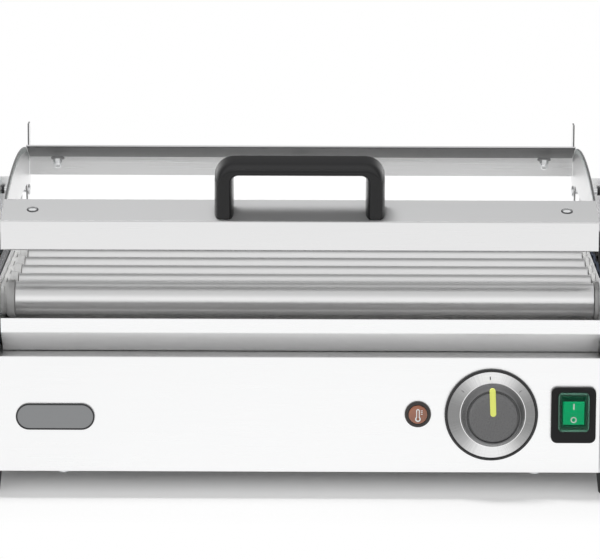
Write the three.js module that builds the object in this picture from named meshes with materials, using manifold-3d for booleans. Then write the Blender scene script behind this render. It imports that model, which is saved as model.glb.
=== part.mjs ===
// A seven-roller sausage grill: a low sheet-steel case with a lift-up glass lid, driven rollers that each
// hold a heating element, and a drip tray that pulls out to the front.
// Millimetres. X runs to the right, Y from the front to the back and Z up. Before the last lines centre it,
// Y is zero at the front panel's face and Z is zero at the bottom of the feet.
import * as THREE from 'three';
import { mergeVertices } from 'three/addons/utils/BufferGeometryUtils.js';
import Module from 'manifold-3d';

const wasm = await Module();
wasm.setup();

// Shared by all pieces
const sheet = 1.2;                 // case and lid steel
const gap = 0.3;                   // between pieces that touch
const overrun = 3;                 // how far a cutting tool passes a face
const smallSides = 8;
const mediumSides = 16;
const largeSides = 28;
const curveSegments = 4;           // along each round corner

// Case
const caseWidth = 520;
const caseDepth = 306;
const housingWidth = 35;           // side housings, outside the panels
const panelHeight = 88;
const ledgeDepth = 26;
const returnDepth = 14;
const housingHeight = 143;
const housingSlope = 30;           // run of the slope at the top front corner
const housingSlopeDrop = 40;
const chainSlotInset = 20;         // outboard edge of the slot over the chain, from the side
const chainSlotFront = 32;
const chainSlotBackInset = 30;
const rearPanelHeight = 124;
const rearShelfDepth = 32;

// Feet
const footHeight = 21.2;
const footTopRadius = 16;
const footBottomRadius = 13.4;
const footInset = 20;              // axis from the case's side
const footSetback = 26;            // axis from the case's front and back

// Rollers and what carries them
const rollerCount = 7;
const rollerRadius = 12.5;
const rollerLeftInset = 10.9;      // rollers' ends from the panel's ends
const rollerRightInset = 3.1;
const rollerSides = 20;
const rollerFront = 44;            // first axis behind the panel face
const rollerBackInset = 52;        // last axis in front of the case's back
const rollerAxisHeight = 145;
const journalRadius = 8;
const journalEnd = 1.8;            // right-hand journal past its bearing plate
const elementRadius = 4.5;
const elementStickOut = 2;         // past the journals at the left
const bearingPlateFront = 28;
const bearingPlateBackInset = 32;
const bearingPlateRise = 16;       // plate above the roller axes
const bushFlangeRadius = 13.8;
const bushShoulderRadius = 12;     // behind the flange, at the left
const bushNeckRadius = 10.7;
const bushStripThickness = 3;
const bushShoulderLength = 4.6;
const bushSides = 12;

// Chain drive, on the left
const teeth = 12;
const sprocketTipRadius = 13;
const sprocketRootRadius = 10.4;
const sprocketThickness = 2.4;
const chainWidth = 4.4;
const chainHeight = 5.4;
const chainPitch = 7;
const chainPinch = 0.9;            // how far the link waists draw in
const motorAxisHeight = 78;
const motorShaftRadius = 4;
const motorHoleRadius = 7;         // in the bearing plate, round the shaft
const gearboxWidth = 25;
const gearboxDepth = 60;
const gearboxHeight = 50;
const motorRadius = 22;
const motorLength = 52;

// Right-hand connections
const terminalRadius = 6.5;
const terminalLength = 8;
const wireRadius = 1.2;
const wireSpacing = 4;
const wireRise = 4;                // bow of the wire between two terminals
const wireDropClear = 13;          // where the wires turn down, behind the bearing plates

// Drip tray
const trayRimHeight = 138;
const trayRimDrop = 10.6;
const trayUndercut = 21;
const trayPlay = 2.4;              // to the left of the tray, which lies against the right
const trayWallHeight = 14;
const trayBackInset = 38;
const shieldUpstand = 50;

// Lid
const lidInset = 1.4;              // cheeks' outer faces from the panel's ends
const lidFront = 20;
const lidBottom = 185.9;
const lidFrontHeight = 22.5;
const lidOverhang = 7;             // rear flange behind the case
const lidBackHeight = 212.2;
const frontSlopeRun = 37;
const frontSlopeRise = 10.2;
const rearSlopeRun = 39;
const rearSlopeRise = 14.6;
const archRise = 10;              // of the arc between the two slopes
const archSteps = 12;
const rearFlangeHeight = 15.8;
const stripReturn = 8;
const glassDrop = 1.8;             // glass and cheeks below the strips' outer faces
const glassThickness = 4;
const glassSetback = 3.5;          // glass edges behind the strips' outer faces
const earClear = 1.4;              // ear behind the rear flange
const earDepth = 17.6;
const earTop = 238;
const cheekLift = 7.5;             // cheek's lower edge above the front strip's
const tailRadius = 9;

// Lid hinge
const hingeSetback = 6;            // from the case's back
const hingeHeight = 186;
const hingePinRadius = 2.5;
const hingeHeadRadius = 4.5;
const hingeHeadHeight = 1.6;
const hingeBushRadius = 3.4;
const hingeBushLength = 2.4;
const bracketWebInset = 15.4;      // web's inboard face, from the case's side
const bracketTop = 196;
const bracketSetback = 1;          // from the case's back
const bracketDepth = 23;
const bracketWidth = 14;
const bracketReach = 17;           // back plate, inboard of the web

// Handle
const handleLength = 127;
const handleHeight = 42;
const handleDepth = 26;
const handleLeg = 13.9;
const gripThickness = 8.5;
const handleOuterRadius = 15;
const handleInnerRadius = 4;
const handleBevel = 2;
const handleSeat = 15.5;           // leg centre, along the slope from the bend

// Controls on the panel
const controlHeight = 66;
const dialInset = 81.2;            // control centres, from the panel's right end
const dialRadius = 35;
const dialThickness = 2.4;
const dialRimHeight = 1;
const dialRimWidth = 2.2;
const dialBore = 7;
const knobOffset = 1.1;            // knob's axis to the right of the dial's centre
const knobRadius = 23.7;
const knobCapRadius = 18.7;
const knobDepth = 10;
const knobStep = 1.6;
const pointerWidth = 4.5;
const pointerTop = 22.2;
const pointerBottom = -0.8;        // ends just above the axis
const pointerThickness = 1.6;
const pointerProud = 0.4;
const pointerTurn = 2.2 * Math.PI / 180;
const spindleRadius = 3;
const spindleBush = 4.5;
const thermostatSize = 40;
const thermostatDepth = 24;
const lampInset = 136.1;
const lampRadius = 9.9;
const lampProud = 2.5;
const lensRadius = 7.1;
const lensProud = 1.3;
const lampTube = 6.8;
const lampTubeLength = 20;
const switchInset = 19.8;
const switchWidth = 33.5;
const switchHeight = 42.4;
const switchProud = 4;
const switchCorner = 3;
const switchBodyWidth = 26;
const switchBodyHeight = 32;
const switchBodyDepth = 22;
const windowWidth = 18;
const windowHeight = 23;
const windowDepth = 10;
const rockerWidth = 15.8;
const rockerHeight = 18.9;
const rockerProud = 6.2;           // rocker's ends in front of the panel
const rockerDish = 1.4;
const rockerTaperShare = 0.8;      // back of the rocker against its front
const rockerPivot = 3;             // pivot behind the panel's face
const rockerPivotRadius = 1.2;
const rockerTilt = 6 * Math.PI / 180;
const bootWidth = 23;
const bootHeight = 29;
const bootProud = 4;
const switchRise = 3;              // window, rocker and boot above the frame's middle
const bootWall = 0.8;
const badgeInset = 42.6;           // badge's centre, from the panel's left end
const badgeHeightAt = 63.3;
const badgeLength = 59;
const badgeHeight = 20;
const badgeThickness = 1.6;
const badgeRim = 1.2;
const badgeRecess = 0.5;

// Rear connections
const glandInset = 50;
const glandHeight = 52;
const glandFlange = 11;
const glandNeck = 8;
const glandBore = 4;
const glandLength = 15;
const blockWidth = 44;
const blockDepth = 18;
const blockHeight = 22;

// Fasteners
const screwHoleRadius = 2.4;
const handleScrewHoleRadius = 2.3;
const screwHoleDepth = 12;         // enough to pass a strip and the glass under it
const stripScrewInset = 23;        // from the lid's ends
const rearScrewInset = 26;
const bottomScrewInset = 48;       // from the panel's ends

// Worked out from the sizes above
const caseHalf = caseWidth / 2;
const panelHalf = caseHalf - housingWidth;
const chainSlotEdge = caseHalf - chainSlotInset;
const chainSlotBack = caseDepth - chainSlotBackInset;
const rearShelfFront = caseDepth - rearShelfDepth;
const bearingPlateBack = caseDepth - bearingPlateBackInset;
const trayBack = caseDepth - trayBackInset;
const wireDropDepth = bearingPlateBack + wireDropClear;
const lidHalf = panelHalf - lidInset;
const lidBack = caseDepth + lidOverhang;
const earFront = lidBack + earClear;
const earBack = earFront + earDepth;
const hingeDepth = caseDepth - hingeSetback;
const bracketWeb = caseHalf - bracketWebInset;
const bracketBack = caseDepth - bracketSetback;
const bracketFront = bracketBack - bracketDepth;
const dialCentre = panelHalf - dialInset;
const knobCentre = dialCentre + knobOffset;
const lampCentre = panelHalf - lampInset;
const switchCentre = panelHalf - switchInset;
const badgeCentre = panelHalf - badgeInset;
const glandCentre = panelHalf - glandInset;
const stripScrewAt = lidHalf - stripScrewInset;
const rearScrewAt = lidHalf - rearScrewInset;
const bottomScrewAt = panelHalf - bottomScrewInset;
const panelTop = footHeight + panelHeight;
const housingTop = footHeight + housingHeight;
const rollerLeftEnd = panelHalf - rollerLeftInset;
const rollerRightEnd = panelHalf - rollerRightInset;
const plateInner = panelHalf + gap;
const plateOuter = plateInner + sheet;
const panTop = footHeight + 2 * sheet + gap;
const plateBottom = panTop + gap;
const plateTop = rollerAxisHeight + bearingPlateRise;
const rollerPitch = (caseDepth - rollerFront - rollerBackInset) / (rollerCount - 1);
const rollerDepths = Array.from({ length: rollerCount }, (_, i) => rollerFront + i * rollerPitch);
const motorAxisDepth = (rollerDepths[0] + rollerDepths[rollerCount - 1]) / 2;
const chainInner = plateOuter + 2 * gap;
const chainMiddle = chainInner + chainWidth / 2;
const journalTip = chainMiddle + sprocketThickness / 2 + gap;
const rightJournalTip = plateOuter + journalEnd;
const deckTop = panelTop;
const trayFloor = deckTop + gap;

// A copy with shared vertices, no flat triangles and its faces pointing out
function closed(geometry) {
  const bare = geometry.clone();
  bare.deleteAttribute('normal');
  bare.deleteAttribute('uv');
  const merged = mergeVertices(bare.index ? bare.toNonIndexed() : bare);
  const { array } = merged.index;
  const corners = [0, 1, 2].map(() => new THREE.Vector3());
  const kept = [];
  let volume = 0;
  for (let i = 0; i < array.length; i += 3) {
    const face = [array[i], array[i + 1], array[i + 2]];
    if (new Set(face).size < 3) continue;
    kept.push(...face);
    corners.forEach((corner, k) => corner.fromBufferAttribute(merged.attributes.position, face[k]));
    volume += corners[0].dot(corners[1].cross(corners[2]));
  }
  merged.setIndex(volume < 0 ? kept.reverse() : kept);
  return merged;
}

function toSolid(geometry) {
  const { attributes, index } = closed(geometry);
  const mesh = new wasm.Mesh({
    numProp: 3,
    vertProperties: new Float32Array(attributes.position.array),
    triVerts: new Uint32Array(index.array),
  });
  return new wasm.Manifold(mesh);
}

function toGeometry(solid) {
  const mesh = solid.getMesh();
  const geometry = new THREE.BufferGeometry();
  geometry.setAttribute('position', new THREE.BufferAttribute(mesh.vertProperties, 3));
  geometry.setIndex(new THREE.BufferAttribute(mesh.triVerts, 1));
  return geometry;
}

function cut(body, tools) {
  return toGeometry(tools.reduce((solid, tool) => solid.subtract(toSolid(tool)), toSolid(body)));
}

function join(bodies) {
  return toGeometry(bodies.map(toSolid).reduce((whole, body) => whole.add(body)));
}

function box(x0, x1, y0, y1, z0, z1) {
  const block = new THREE.BoxGeometry(Math.abs(x1 - x0), y1 - y0, z1 - z0);
  return block.translate((x0 + x1) / 2, (y0 + y1) / 2, (z0 + z1) / 2);
}

function shapeOf(points) {
  return new THREE.Shape(points.map(([u, v]) => new THREE.Vector2(u, v)));
}

// An outline of [y, z] points, or a shape in those axes, pushed along X
function alongX(outline, x0, x1) {
  const shape = Array.isArray(outline) ? shapeOf(outline) : outline;
  const depth = Math.abs(x1 - x0);
  const body = new THREE.ExtrudeGeometry(shape, { depth, bevelEnabled: false, curveSegments });
  const turn = new THREE.Matrix4().makeBasis(
    new THREE.Vector3(0, 1, 0), new THREE.Vector3(0, 0, 1), new THREE.Vector3(1, 0, 0));
  return body.applyMatrix4(turn).translate(Math.min(x0, x1), 0, 0);
}

// A shape in [x, z] axes pushed along Y
function alongY(shape, y0, y1) {
  const body = new THREE.ExtrudeGeometry(shape, { depth: y1 - y0, bevelEnabled: false, curveSegments });
  return body.rotateX(Math.PI / 2).translate(0, y1, 0);
}

// A turned piece: its profile's [radius, place] points run round the X, Y or Z axis
function turned(profile, axis, sides) {
  const body = new THREE.LatheGeometry(profile.map(([r, at]) => new THREE.Vector2(r, at)), sides);
  if (axis === 'x') body.rotateZ(-Math.PI / 2);
  if (axis === 'z') body.rotateX(Math.PI / 2);
  return body;
}

function rod(radius, from, to, axis, sides) {
  return turned([[0, from], [radius, from], [radius, to], [0, to]], axis, sides);
}

// A tube's profile closes on itself
function ring(inner, outer, from, to, axis, sides) {
  return turned([[inner, from], [outer, from], [outer, to], [inner, to], [inner, from]], axis, sides);
}

function mirrored(geometry) {
  return closed(geometry.clone().scale(-1, 1, 1));
}

// The path moved sideways by a distance, to the left of its direction, with sharp corners
function offsetPath(path, distance, loops = false) {
  const count = path.length;
  const point = (i) => new THREE.Vector2(...path[(i + count) % count]);
  return path.map((_, i) => {
    const into = point(i).sub(point(i - 1)).normalize();
    const outOf = point(i + 1).sub(point(i)).normalize();
    const first = !loops && i === 0 ? outOf : into;
    const second = !loops && i === count - 1 ? into : outOf;
    const reach = distance / (1 + first.dot(second));
    return [path[i][0] - (first.y + second.y) * reach, path[i][1] + (first.x + second.x) * reach];
  });
}

// The outline of a bent sheet whose outer face is the path
function bentSheet(path, thickness) {
  return [...path, ...offsetPath(path, thickness).reverse()];
}

function roundedRectangle(width, height, radius) {
  const [u, v] = [width / 2, height / 2];
  const shape = new THREE.Shape();
  shape.absarc(u - radius, v - radius, radius, 0, Math.PI / 2);
  shape.absarc(-u + radius, v - radius, radius, Math.PI / 2, Math.PI);
  shape.absarc(-u + radius, -v + radius, radius, Math.PI, -Math.PI / 2);
  shape.absarc(u - radius, -v + radius, radius, -Math.PI / 2, 0);
  return shape;
}

const grill = new THREE.Group();

function add(name, geometry, colour, roughness, metalness) {
  const material = new THREE.MeshStandardMaterial({ color: colour, roughness, metalness });
  const body = closed(geometry);
  body.computeVertexNormals();
  const mesh = new THREE.Mesh(body, material);
  mesh.name = name;
  grill.add(mesh);
  return mesh;
}

const steel = [0xc9cbcc, 0.35, 1];
const brightSteel = [0xdddfe0, 0.22, 1];
const blackPlastic = [0x222224, 0.5, 0];

// Case: the front panel with its ledge and its return under the pan
function frontPanel() {
  const path = [[ledgeDepth, panelTop], [0, panelTop], [0, footHeight], [returnDepth, footHeight]];
  const body = alongX(bentSheet(path, sheet), -panelHalf, panelHalf);
  const hole = (x, radius) => rod(radius, -overrun, overrun, 'y', mediumSides)
    .translate(x, 0, controlHeight);
  const halfWidth = switchBodyWidth / 2 + gap;
  const halfHeight = switchBodyHeight / 2 + gap;
  const screwHole = rod(screwHoleRadius, footHeight - overrun, footHeight + overrun, 'z', smallSides);
  return cut(body, [
    hole(knobCentre, spindleBush + gap),
    hole(lampCentre, lampTube + gap),
    box(switchCentre - halfWidth, switchCentre + halfWidth, -overrun, overrun,
      controlHeight - halfHeight, controlHeight + halfHeight),
    ...[-1, 1].map((side) => screwHole.clone().translate(side * bottomScrewAt, returnDepth / 2, 0)),
  ]);
}

function basePan() {
  const side = caseHalf - sheet - gap;
  const rim = sheet + gap;
  return box(-side, side, rim, caseDepth - rim, panTop - sheet, panTop);
}

function rearPanel() {
  const top = footHeight + rearPanelHeight;
  const path = [
    [caseDepth - returnDepth, footHeight], [caseDepth, footHeight], [caseDepth, top], [rearShelfFront, top],
  ];
  const body = alongX(bentSheet(path, sheet), -panelHalf, panelHalf);
  const hole = rod(glandNeck + gap, caseDepth - overrun, caseDepth + overrun, 'y', mediumSides);
  return cut(body, [hole.translate(glandCentre, 0, glandHeight)]);
}

// The deck under the drip tray, bent up behind the last roller
function heatShield() {
  const back = rearShelfFront - gap;
  const upstand = back - sheet;
  const path = [[ledgeDepth + gap, deckTop], [upstand, deckTop], [upstand, deckTop + shieldUpstand]];
  return alongX(bentSheet(path, -sheet), -panelHalf, panelHalf);
}

function housing() {
  const outline = [
    [0, footHeight], [caseDepth, footHeight], [caseDepth, housingTop],
    [housingSlope, housingTop], [0, housingTop - housingSlopeDrop],
  ];
  const inner = panelHalf + gap;
  const shell = alongX(outline, inner, caseHalf);
  const hollow = alongX(offsetPath(outline, sheet, true), inner - overrun, caseHalf - sheet);
  const slot = box(inner - overrun, chainSlotEdge, chainSlotFront, chainSlotBack,
    housingTop - overrun, housingTop + overrun);
  const screwHoles = bracketScrews().map(([x, y]) => rod(screwHoleRadius, housingTop - overrun,
    housingTop + overrun, 'z', smallSides).translate(x, y, 0));
  return cut(shell, [hollow, slot, ...screwHoles]);
}

function foot() {
  const top = footHeight - gap;
  const lip = footTopRadius - footBottomRadius;
  return turned([[0, 0], [footBottomRadius, 0], [footTopRadius, top - lip], [footTopRadius, top], [0, top]],
    'z', mediumSides);
}

function footPlaces() {
  const x = caseHalf - footInset;
  return [
    ['front_left', -x, footSetback], ['front_right', x, footSetback],
    ['rear_left', -x, caseDepth - footSetback], ['rear_right', x, caseDepth - footSetback],
  ];
}

// Bearing plates, bushes and rollers
function bearingPlate(motorSide) {
  const corner = rollerAxisHeight - trayRimHeight;
  const outline = [
    [bearingPlateFront, plateBottom], [bearingPlateBack, plateBottom], [bearingPlateBack, plateTop],
    [bearingPlateFront + corner, plateTop], [bearingPlateFront, plateTop - corner],
  ];
  const plate = alongX(outline, plateInner, plateOuter);
  const hole = (radius, y, z) => rod(radius, plateInner - overrun, plateOuter + overrun, 'x', mediumSides)
    .translate(0, y, z);
  const holes = rollerDepths.map((y) => hole(bushNeckRadius + gap, y, rollerAxisHeight));
  if (motorSide) holes.push(hole(motorHoleRadius, motorAxisDepth, motorAxisHeight));
  return cut(plate, holes);
}

// A bush's flange stands against the roller's end, and its neck goes through the plate
function bush(rollerEnd, shoulder) {
  const inner = journalRadius + 2 * gap;
  const from = rollerEnd + gap;
  const plateFace = plateInner - gap;
  const flange = plateFace - shoulder;
  const profile = [[inner, from], [bushFlangeRadius, from], [bushFlangeRadius, flange]];
  if (shoulder) profile.push([bushShoulderRadius, flange], [bushShoulderRadius, plateFace]);
  profile.push([bushNeckRadius, plateFace], [bushNeckRadius, plateOuter]);
  profile.push([inner, plateOuter], [inner, from]);
  return turned(profile, 'x', bushSides);
}

// The seven bushes are moulded on one strip
function bushStrip(rollerEnd, shoulder) {
  const flange = plateInner - gap;
  const [first, last] = [rollerDepths[0], rollerDepths[rollerCount - 1]];
  const face = flange - bushStripThickness;
  const beyond = bushFlangeRadius / 2;
  const strip = box(face, flange, first - beyond, last + beyond, -bushNeckRadius, bushNeckRadius)
    .translate(0, 0, rollerAxisHeight);
  const bore = rod(journalRadius + 2 * gap, face - overrun, flange + overrun, 'x', bushSides);
  const web = cut(strip, rollerDepths.map((y) => bore.clone().translate(0, y, rollerAxisHeight)));
  const bushes = rollerDepths.map((y) => bush(rollerEnd, shoulder).translate(0, y, rollerAxisHeight));
  return join([web, ...bushes]);
}

function roller(y) {
  const bore = elementRadius + gap;
  const body = turned([
    [bore, -journalTip], [journalRadius, -journalTip], [journalRadius, -rollerLeftEnd],
    [rollerRadius, -rollerLeftEnd], [rollerRadius, rollerRightEnd], [journalRadius, rollerRightEnd],
    [journalRadius, rightJournalTip],
    [bore, rightJournalTip], [bore, -journalTip],
  ], 'x', rollerSides);
  return body.translate(0, y, rollerAxisHeight);
}

function circlePoints(radius, sides) {
  return Array.from({ length: sides }, (_, i) => {
    const turn = 2 * Math.PI * i / sides;
    return new THREE.Vector2(radius * Math.cos(turn), radius * Math.sin(turn));
  });
}

function sprocketShape(bore) {
  const points = [];
  const toothShare = [-0.42, -0.16, 0.16, 0.42];
  for (let tooth = 0; tooth < teeth; tooth += 1) {
    toothShare.forEach((share, k) => {
      const turn = 2 * Math.PI * (tooth + share) / teeth;
      const radius = k % 3 === 0 ? sprocketRootRadius : sprocketTipRadius;
      points.push([radius * Math.cos(turn), radius * Math.sin(turn)]);
    });
  }
  const shape = shapeOf(points);
  if (bore) shape.holes.push(new THREE.Path(circlePoints(bore, mediumSides)));
  return shape;
}

function sprocket(bore) {
  const half = sprocketThickness / 2;
  return alongX(sprocketShape(bore), -chainMiddle - half, -chainMiddle + half);
}

function motorSprocket() {
  const shaft = rod(motorShaftRadius, -journalTip, -plateInner + gearboxWidth / 2, 'x', mediumSides);
  return join([sprocket(0), shaft]).translate(0, motorAxisDepth, motorAxisHeight);
}

function gearMotor() {
  const outer = -plateInner + gap;
  const inner = outer + gearboxWidth;
  const [halfDepth, halfHeight] = [gearboxDepth / 2, gearboxHeight / 2];
  const gearbox = box(outer, inner, -halfDepth, halfDepth, -halfHeight, halfHeight);
  const motor = rod(motorRadius, inner - sheet, inner + motorLength, 'x', mediumSides);
  const boreEnd = outer + gearboxWidth / 2 + overrun;
  const bore = rod(motorShaftRadius + gap, outer - overrun, boreEnd, 'x', mediumSides);
  return cut(join([gearbox, motor]), [bore]).translate(0, motorAxisDepth, motorAxisHeight);
}

// The chain goes over all the roller sprockets, round the first and last, and down round the motor's.
// Its centre line is a triangle with round corners, walked in even steps.
function chainLoop() {
  const corners = [
    [rollerDepths[0], rollerAxisHeight], [motorAxisDepth, motorAxisHeight],
    [rollerDepths[rollerCount - 1], rollerAxisHeight],
  ].map(([y, z]) => new THREE.Vector2(y, z));
  const radius = sprocketTipRadius + 2 * gap + chainHeight / 2;
  const path = new THREE.CurvePath();
  corners.forEach((corner, i) => {
    const next = corners[(i + 1) % corners.length];
    const last = corners[(i + corners.length - 1) % corners.length];
    const outward = (a, b) => Math.atan2(b.y - a.y, b.x - a.x) - Math.PI / 2;
    const [from, to] = [outward(last, corner), outward(corner, next)];
    const arc = new THREE.Path().absarc(corner.x, corner.y, radius, from, to, false);
    path.add(arc.curves[0]);
    const leave = new THREE.Vector2(Math.cos(to), Math.sin(to)).multiplyScalar(radius);
    path.add(new THREE.LineCurve(corner.clone().add(leave), next.clone().add(leave)));
  });
  return path;
}

function driveChain() {
  const path = chainLoop();
  const links = Math.round(path.getLength() / chainPitch);
  const stepsPerLink = 2;
  const count = links * stepsPerLink;
  const outer = [];
  const inner = [];
  for (let i = 0; i < count; i += 1) {
    const along = i / count;
    const point = path.getPointAt(along);
    const tangent = path.getTangentAt(along);
    const swell = i % stepsPerLink === 0 ? chainPinch : 0;
    const outward = new THREE.Vector2(tangent.y, -tangent.x);
    outer.push(point.clone().addScaledVector(outward, chainHeight / 2 - swell));
    inner.push(point.clone().addScaledVector(outward, -chainHeight / 2));
  }
  const shape = new THREE.Shape(outer);
  shape.holes.push(new THREE.Path(inner));
  return alongX(shape, -chainInner - chainWidth, -chainInner);
}

const terminalStart = rightJournalTip + gap;

// Heating elements run through the rollers and hang on one terminal strip at the right
function elements() {
  const from = -journalTip - elementStickOut;
  const stripHalf = terminalRadius - sheet;
  const strip = box(terminalStart, terminalStart + terminalLength / 2, rollerDepths[0],
    rollerDepths[rollerCount - 1], rollerAxisHeight - stripHalf, rollerAxisHeight + stripHalf);
  const rods = rollerDepths.flatMap((y) => [
    rod(elementRadius, from, terminalStart + sheet, 'x', smallSides),
    rod(terminalRadius, terminalStart, terminalStart + terminalLength, 'x', smallSides),
  ].map((piece) => piece.translate(0, y, rollerAxisHeight)));
  return join([strip, ...rods]);
}

// One wire over all the terminals, then down behind the last one to the terminal block
function powerWire(x, blockFace, blockZ) {
  const over = rollerAxisHeight + terminalRadius + gap + wireRadius;
  const points = rollerDepths.flatMap((y, i) => (i === 0 ? [[x, y, over]]
    : [[x, y - rollerPitch / 2, over + wireRise], [x, y, over]]));
  const clear = terminalRadius + 2 * wireRise;
  points.push([x, wireDropDepth - wireRise, over - clear], [x, wireDropDepth, rollerAxisHeight - 3 * clear]);
  points.push([x - clear, wireDropDepth, blockZ + clear], [blockFace + clear, wireDropDepth, blockZ],
    [blockFace, wireDropDepth, blockZ]);
  const places = points.map((place) => new THREE.Vector3(...place));
  const extrudePath = new THREE.CatmullRomCurve3(places, false, 'centripetal');
  const section = new THREE.Shape().absarc(0, 0, wireRadius, 0, 2 * Math.PI, false);
  return new THREE.ExtrudeGeometry(section, { steps: 2 * points.length, curveSegments: 2, extrudePath });
}

const blockBack = wireDropDepth + blockDepth / 2;

function wire(side) {
  const face = glandCentre + blockWidth / 2 + gap;
  const x = terminalStart + terminalLength / 2;
  const middle = panTop + gap + blockHeight / 2;
  return powerWire(x + side * wireSpacing / 2, face, middle - side * wireSpacing);
}

function terminalBlock() {
  const half = blockWidth / 2;
  const base = panTop + gap;
  return box(glandCentre - half, glandCentre + half, blockBack - blockDepth, blockBack,
    base, base + blockHeight);
}

function cableGland() {
  const face = caseDepth + gap;
  const inside = caseDepth - sheet - gap;
  const lip = glandFlange - glandNeck;
  return turned([
    [glandBore, inside - lip], [glandFlange, inside - lip], [glandFlange, inside], [glandNeck, inside],
    [glandNeck, face], [glandFlange, face], [glandFlange, face + lip], [glandNeck, face + glandLength],
    [glandBore, face + glandLength], [glandBore, inside - lip],
  ], 'y', mediumSides).translate(glandCentre, 0, glandHeight);
}

// Drip tray: an upright rim in front, an undercut wall down to the floor and low walls round it
function dripTray() {
  const rimBottom = trayRimHeight - trayRimDrop;
  const wallTop = trayFloor + trayWallHeight;
  const outside = [
    [0, trayRimHeight], [0, rimBottom], [trayUndercut, trayFloor], [trayBack, trayFloor],
    [trayBack, wallTop],
  ];
  const inside = offsetPath(outside, sheet);
  const left = trayPlay - panelHalf;
  const right = panelHalf - gap;
  const body = alongX([...outside, [trayUndercut, wallTop], [2 * sheet, trayRimHeight]], left, right);
  const hollow = alongX([
    ...inside, [trayBack - sheet, wallTop + overrun], [sheet, trayRimHeight + overrun],
  ], left + sheet, right - sheet);
  return cut(body, [hollow]);
}

// Lid: its outline slopes up from the front bend, arches over the rollers and slopes down to the rear bend
const frontBend = new THREE.Vector2(lidFront, lidBottom + lidFrontHeight);
const frontTop = new THREE.Vector2(lidFront + frontSlopeRun, frontBend.y + frontSlopeRise);
const rearBend = new THREE.Vector2(lidBack, lidBackHeight);
const rearTop = new THREE.Vector2(lidBack - rearSlopeRun, lidBackHeight + rearSlopeRise);
const frontTilt = Math.atan2(frontSlopeRise, frontSlopeRun);
const rearTilt = -Math.atan2(rearSlopeRise, rearSlopeRun);
const chord = rearTop.clone().sub(frontTop);
const halfChord = chord.length() / 2;
const archRadius = (halfChord ** 2 + archRise ** 2) / (2 * archRise);
const chordNormal = new THREE.Vector2(-chord.y, chord.x).normalize();
const archCentre = frontTop.clone().addScaledVector(chord, 1 / 2)
  .addScaledVector(chordNormal, archRise - archRadius);

// A point of the lid's outline, moved inward by a drop, at a depth
function onLid(depth, drop) {
  const onSlope = (top, tilt) => [depth, top.y + (depth - top.x) * Math.tan(tilt) - drop];
  if (depth < frontTop.x) return onSlope(frontTop, frontTilt);
  if (depth > rearTop.x) return onSlope(rearTop, rearTilt);
  return [depth, archCentre.y + Math.sqrt(archRadius ** 2 - (depth - archCentre.x) ** 2) - drop];
}

// The outline between two depths, with both kinks in it
function lidOutline(from, to, drop) {
  const step = (rearTop.x - frontTop.x) / archSteps;
  const arch = Array.from({ length: archSteps + 1 }, (_, i) => frontTop.x + step * i);
  return [from, ...arch.filter((depth) => depth > from && depth < to), to]
    .map((depth) => onLid(depth, drop));
}

// Set a piece on a strip's slope: x, and the distance along the slope from its bend
function onFrontSlope(geometry, x, along) {
  const [y, z] = [frontBend.x + along * Math.cos(frontTilt), frontBend.y + along * Math.sin(frontTilt)];
  return geometry.rotateX(frontTilt).translate(x, y, z);
}

function onRearSlope(geometry, x, along) {
  const [y, z] = [rearBend.x - along * Math.cos(rearTilt), rearBend.y - along * Math.sin(rearTilt)];
  return geometry.rotateX(rearTilt).translate(x, y, z);
}

const handleScrewAt = (handleLength - handleLeg) / 2;
const stripScrewAlong = Math.hypot(frontSlopeRun, frontSlopeRise) / 2;
const rearScrewAlong = Math.hypot(rearSlopeRun, rearSlopeRise) / 2;

// Every screw that passes a strip and the glass
function lidScrewPlaces() {
  return [
    ...[-stripScrewAt, stripScrewAt].map((x) => ({ set: onFrontSlope, x, along: stripScrewAlong })),
    ...[-rearScrewAt, 0, rearScrewAt].map((x) => ({ set: onRearSlope, x, along: rearScrewAlong })),
    ...[-handleScrewAt, handleScrewAt].map((x) => ({ set: onFrontSlope, x, along: handleSeat })),
  ];
}

function lidHoles() {
  return lidScrewPlaces().map(({ set, x, along }) => set(
    rod(screwHoleRadius, -screwHoleDepth, overrun, 'z', smallSides), x, along));
}

function frontStrip() {
  const path = [
    [frontTop.x, frontTop.y], [frontBend.x, frontBend.y], [lidFront, lidBottom],
    [lidFront + stripReturn, lidBottom],
  ];
  return cut(alongX(bentSheet(path, sheet), -lidHalf, lidHalf), lidHoles());
}

function rearStrip() {
  const half = lidHalf - sheet - gap;
  const path = [
    [rearTop.x, rearTop.y], [rearBend.x, rearBend.y], [lidBack, lidBackHeight - rearFlangeHeight],
  ];
  return cut(alongX(bentSheet(path, -sheet), -half, half), lidHoles());
}

function lidGlass() {
  const half = lidHalf - sheet - gap;
  const [from, to] = [lidFront + glassSetback, lidBack - glassSetback];
  const outline = [
    ...lidOutline(from, to, glassDrop), ...lidOutline(from, to, glassDrop + glassThickness).reverse(),
  ];
  return cut(alongX(outline, -half, half), lidHoles());
}

// A cheek with the rounded tail that takes the hinge pin and the upright ear behind the rear strip
function cheek() {
  const front = lidFront + sheet + gap;
  const bottom = lidBottom + cheekLift;
  const tail = [];
  for (let i = 0; i <= smallSides; i += 1) {
    const turn = Math.PI * (1 + i / smallSides);
    tail.push([hingeDepth + tailRadius * Math.cos(turn), hingeHeight + tailRadius * Math.sin(turn)]);
  }
  const earChamfer = (earBack - earFront) / 3;
  const outline = [
    [front, bottom], [hingeDepth - 2 * tailRadius, bottom], ...tail,
    [earBack - earChamfer, lidBottom], [earBack, lidBottom + earChamfer], [earBack, earTop - earChamfer],
    [earBack - earChamfer, earTop], [earFront, earTop], ...lidOutline(front, earFront, glassDrop).reverse(),
  ];
  const plate = alongX(outline, lidHalf - sheet, lidHalf);
  const hole = rod(hingePinRadius + gap, lidHalf - overrun, lidHalf + overrun, 'x', smallSides);
  return cut(plate, [hole.translate(0, hingeDepth, hingeHeight)]);
}

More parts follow.
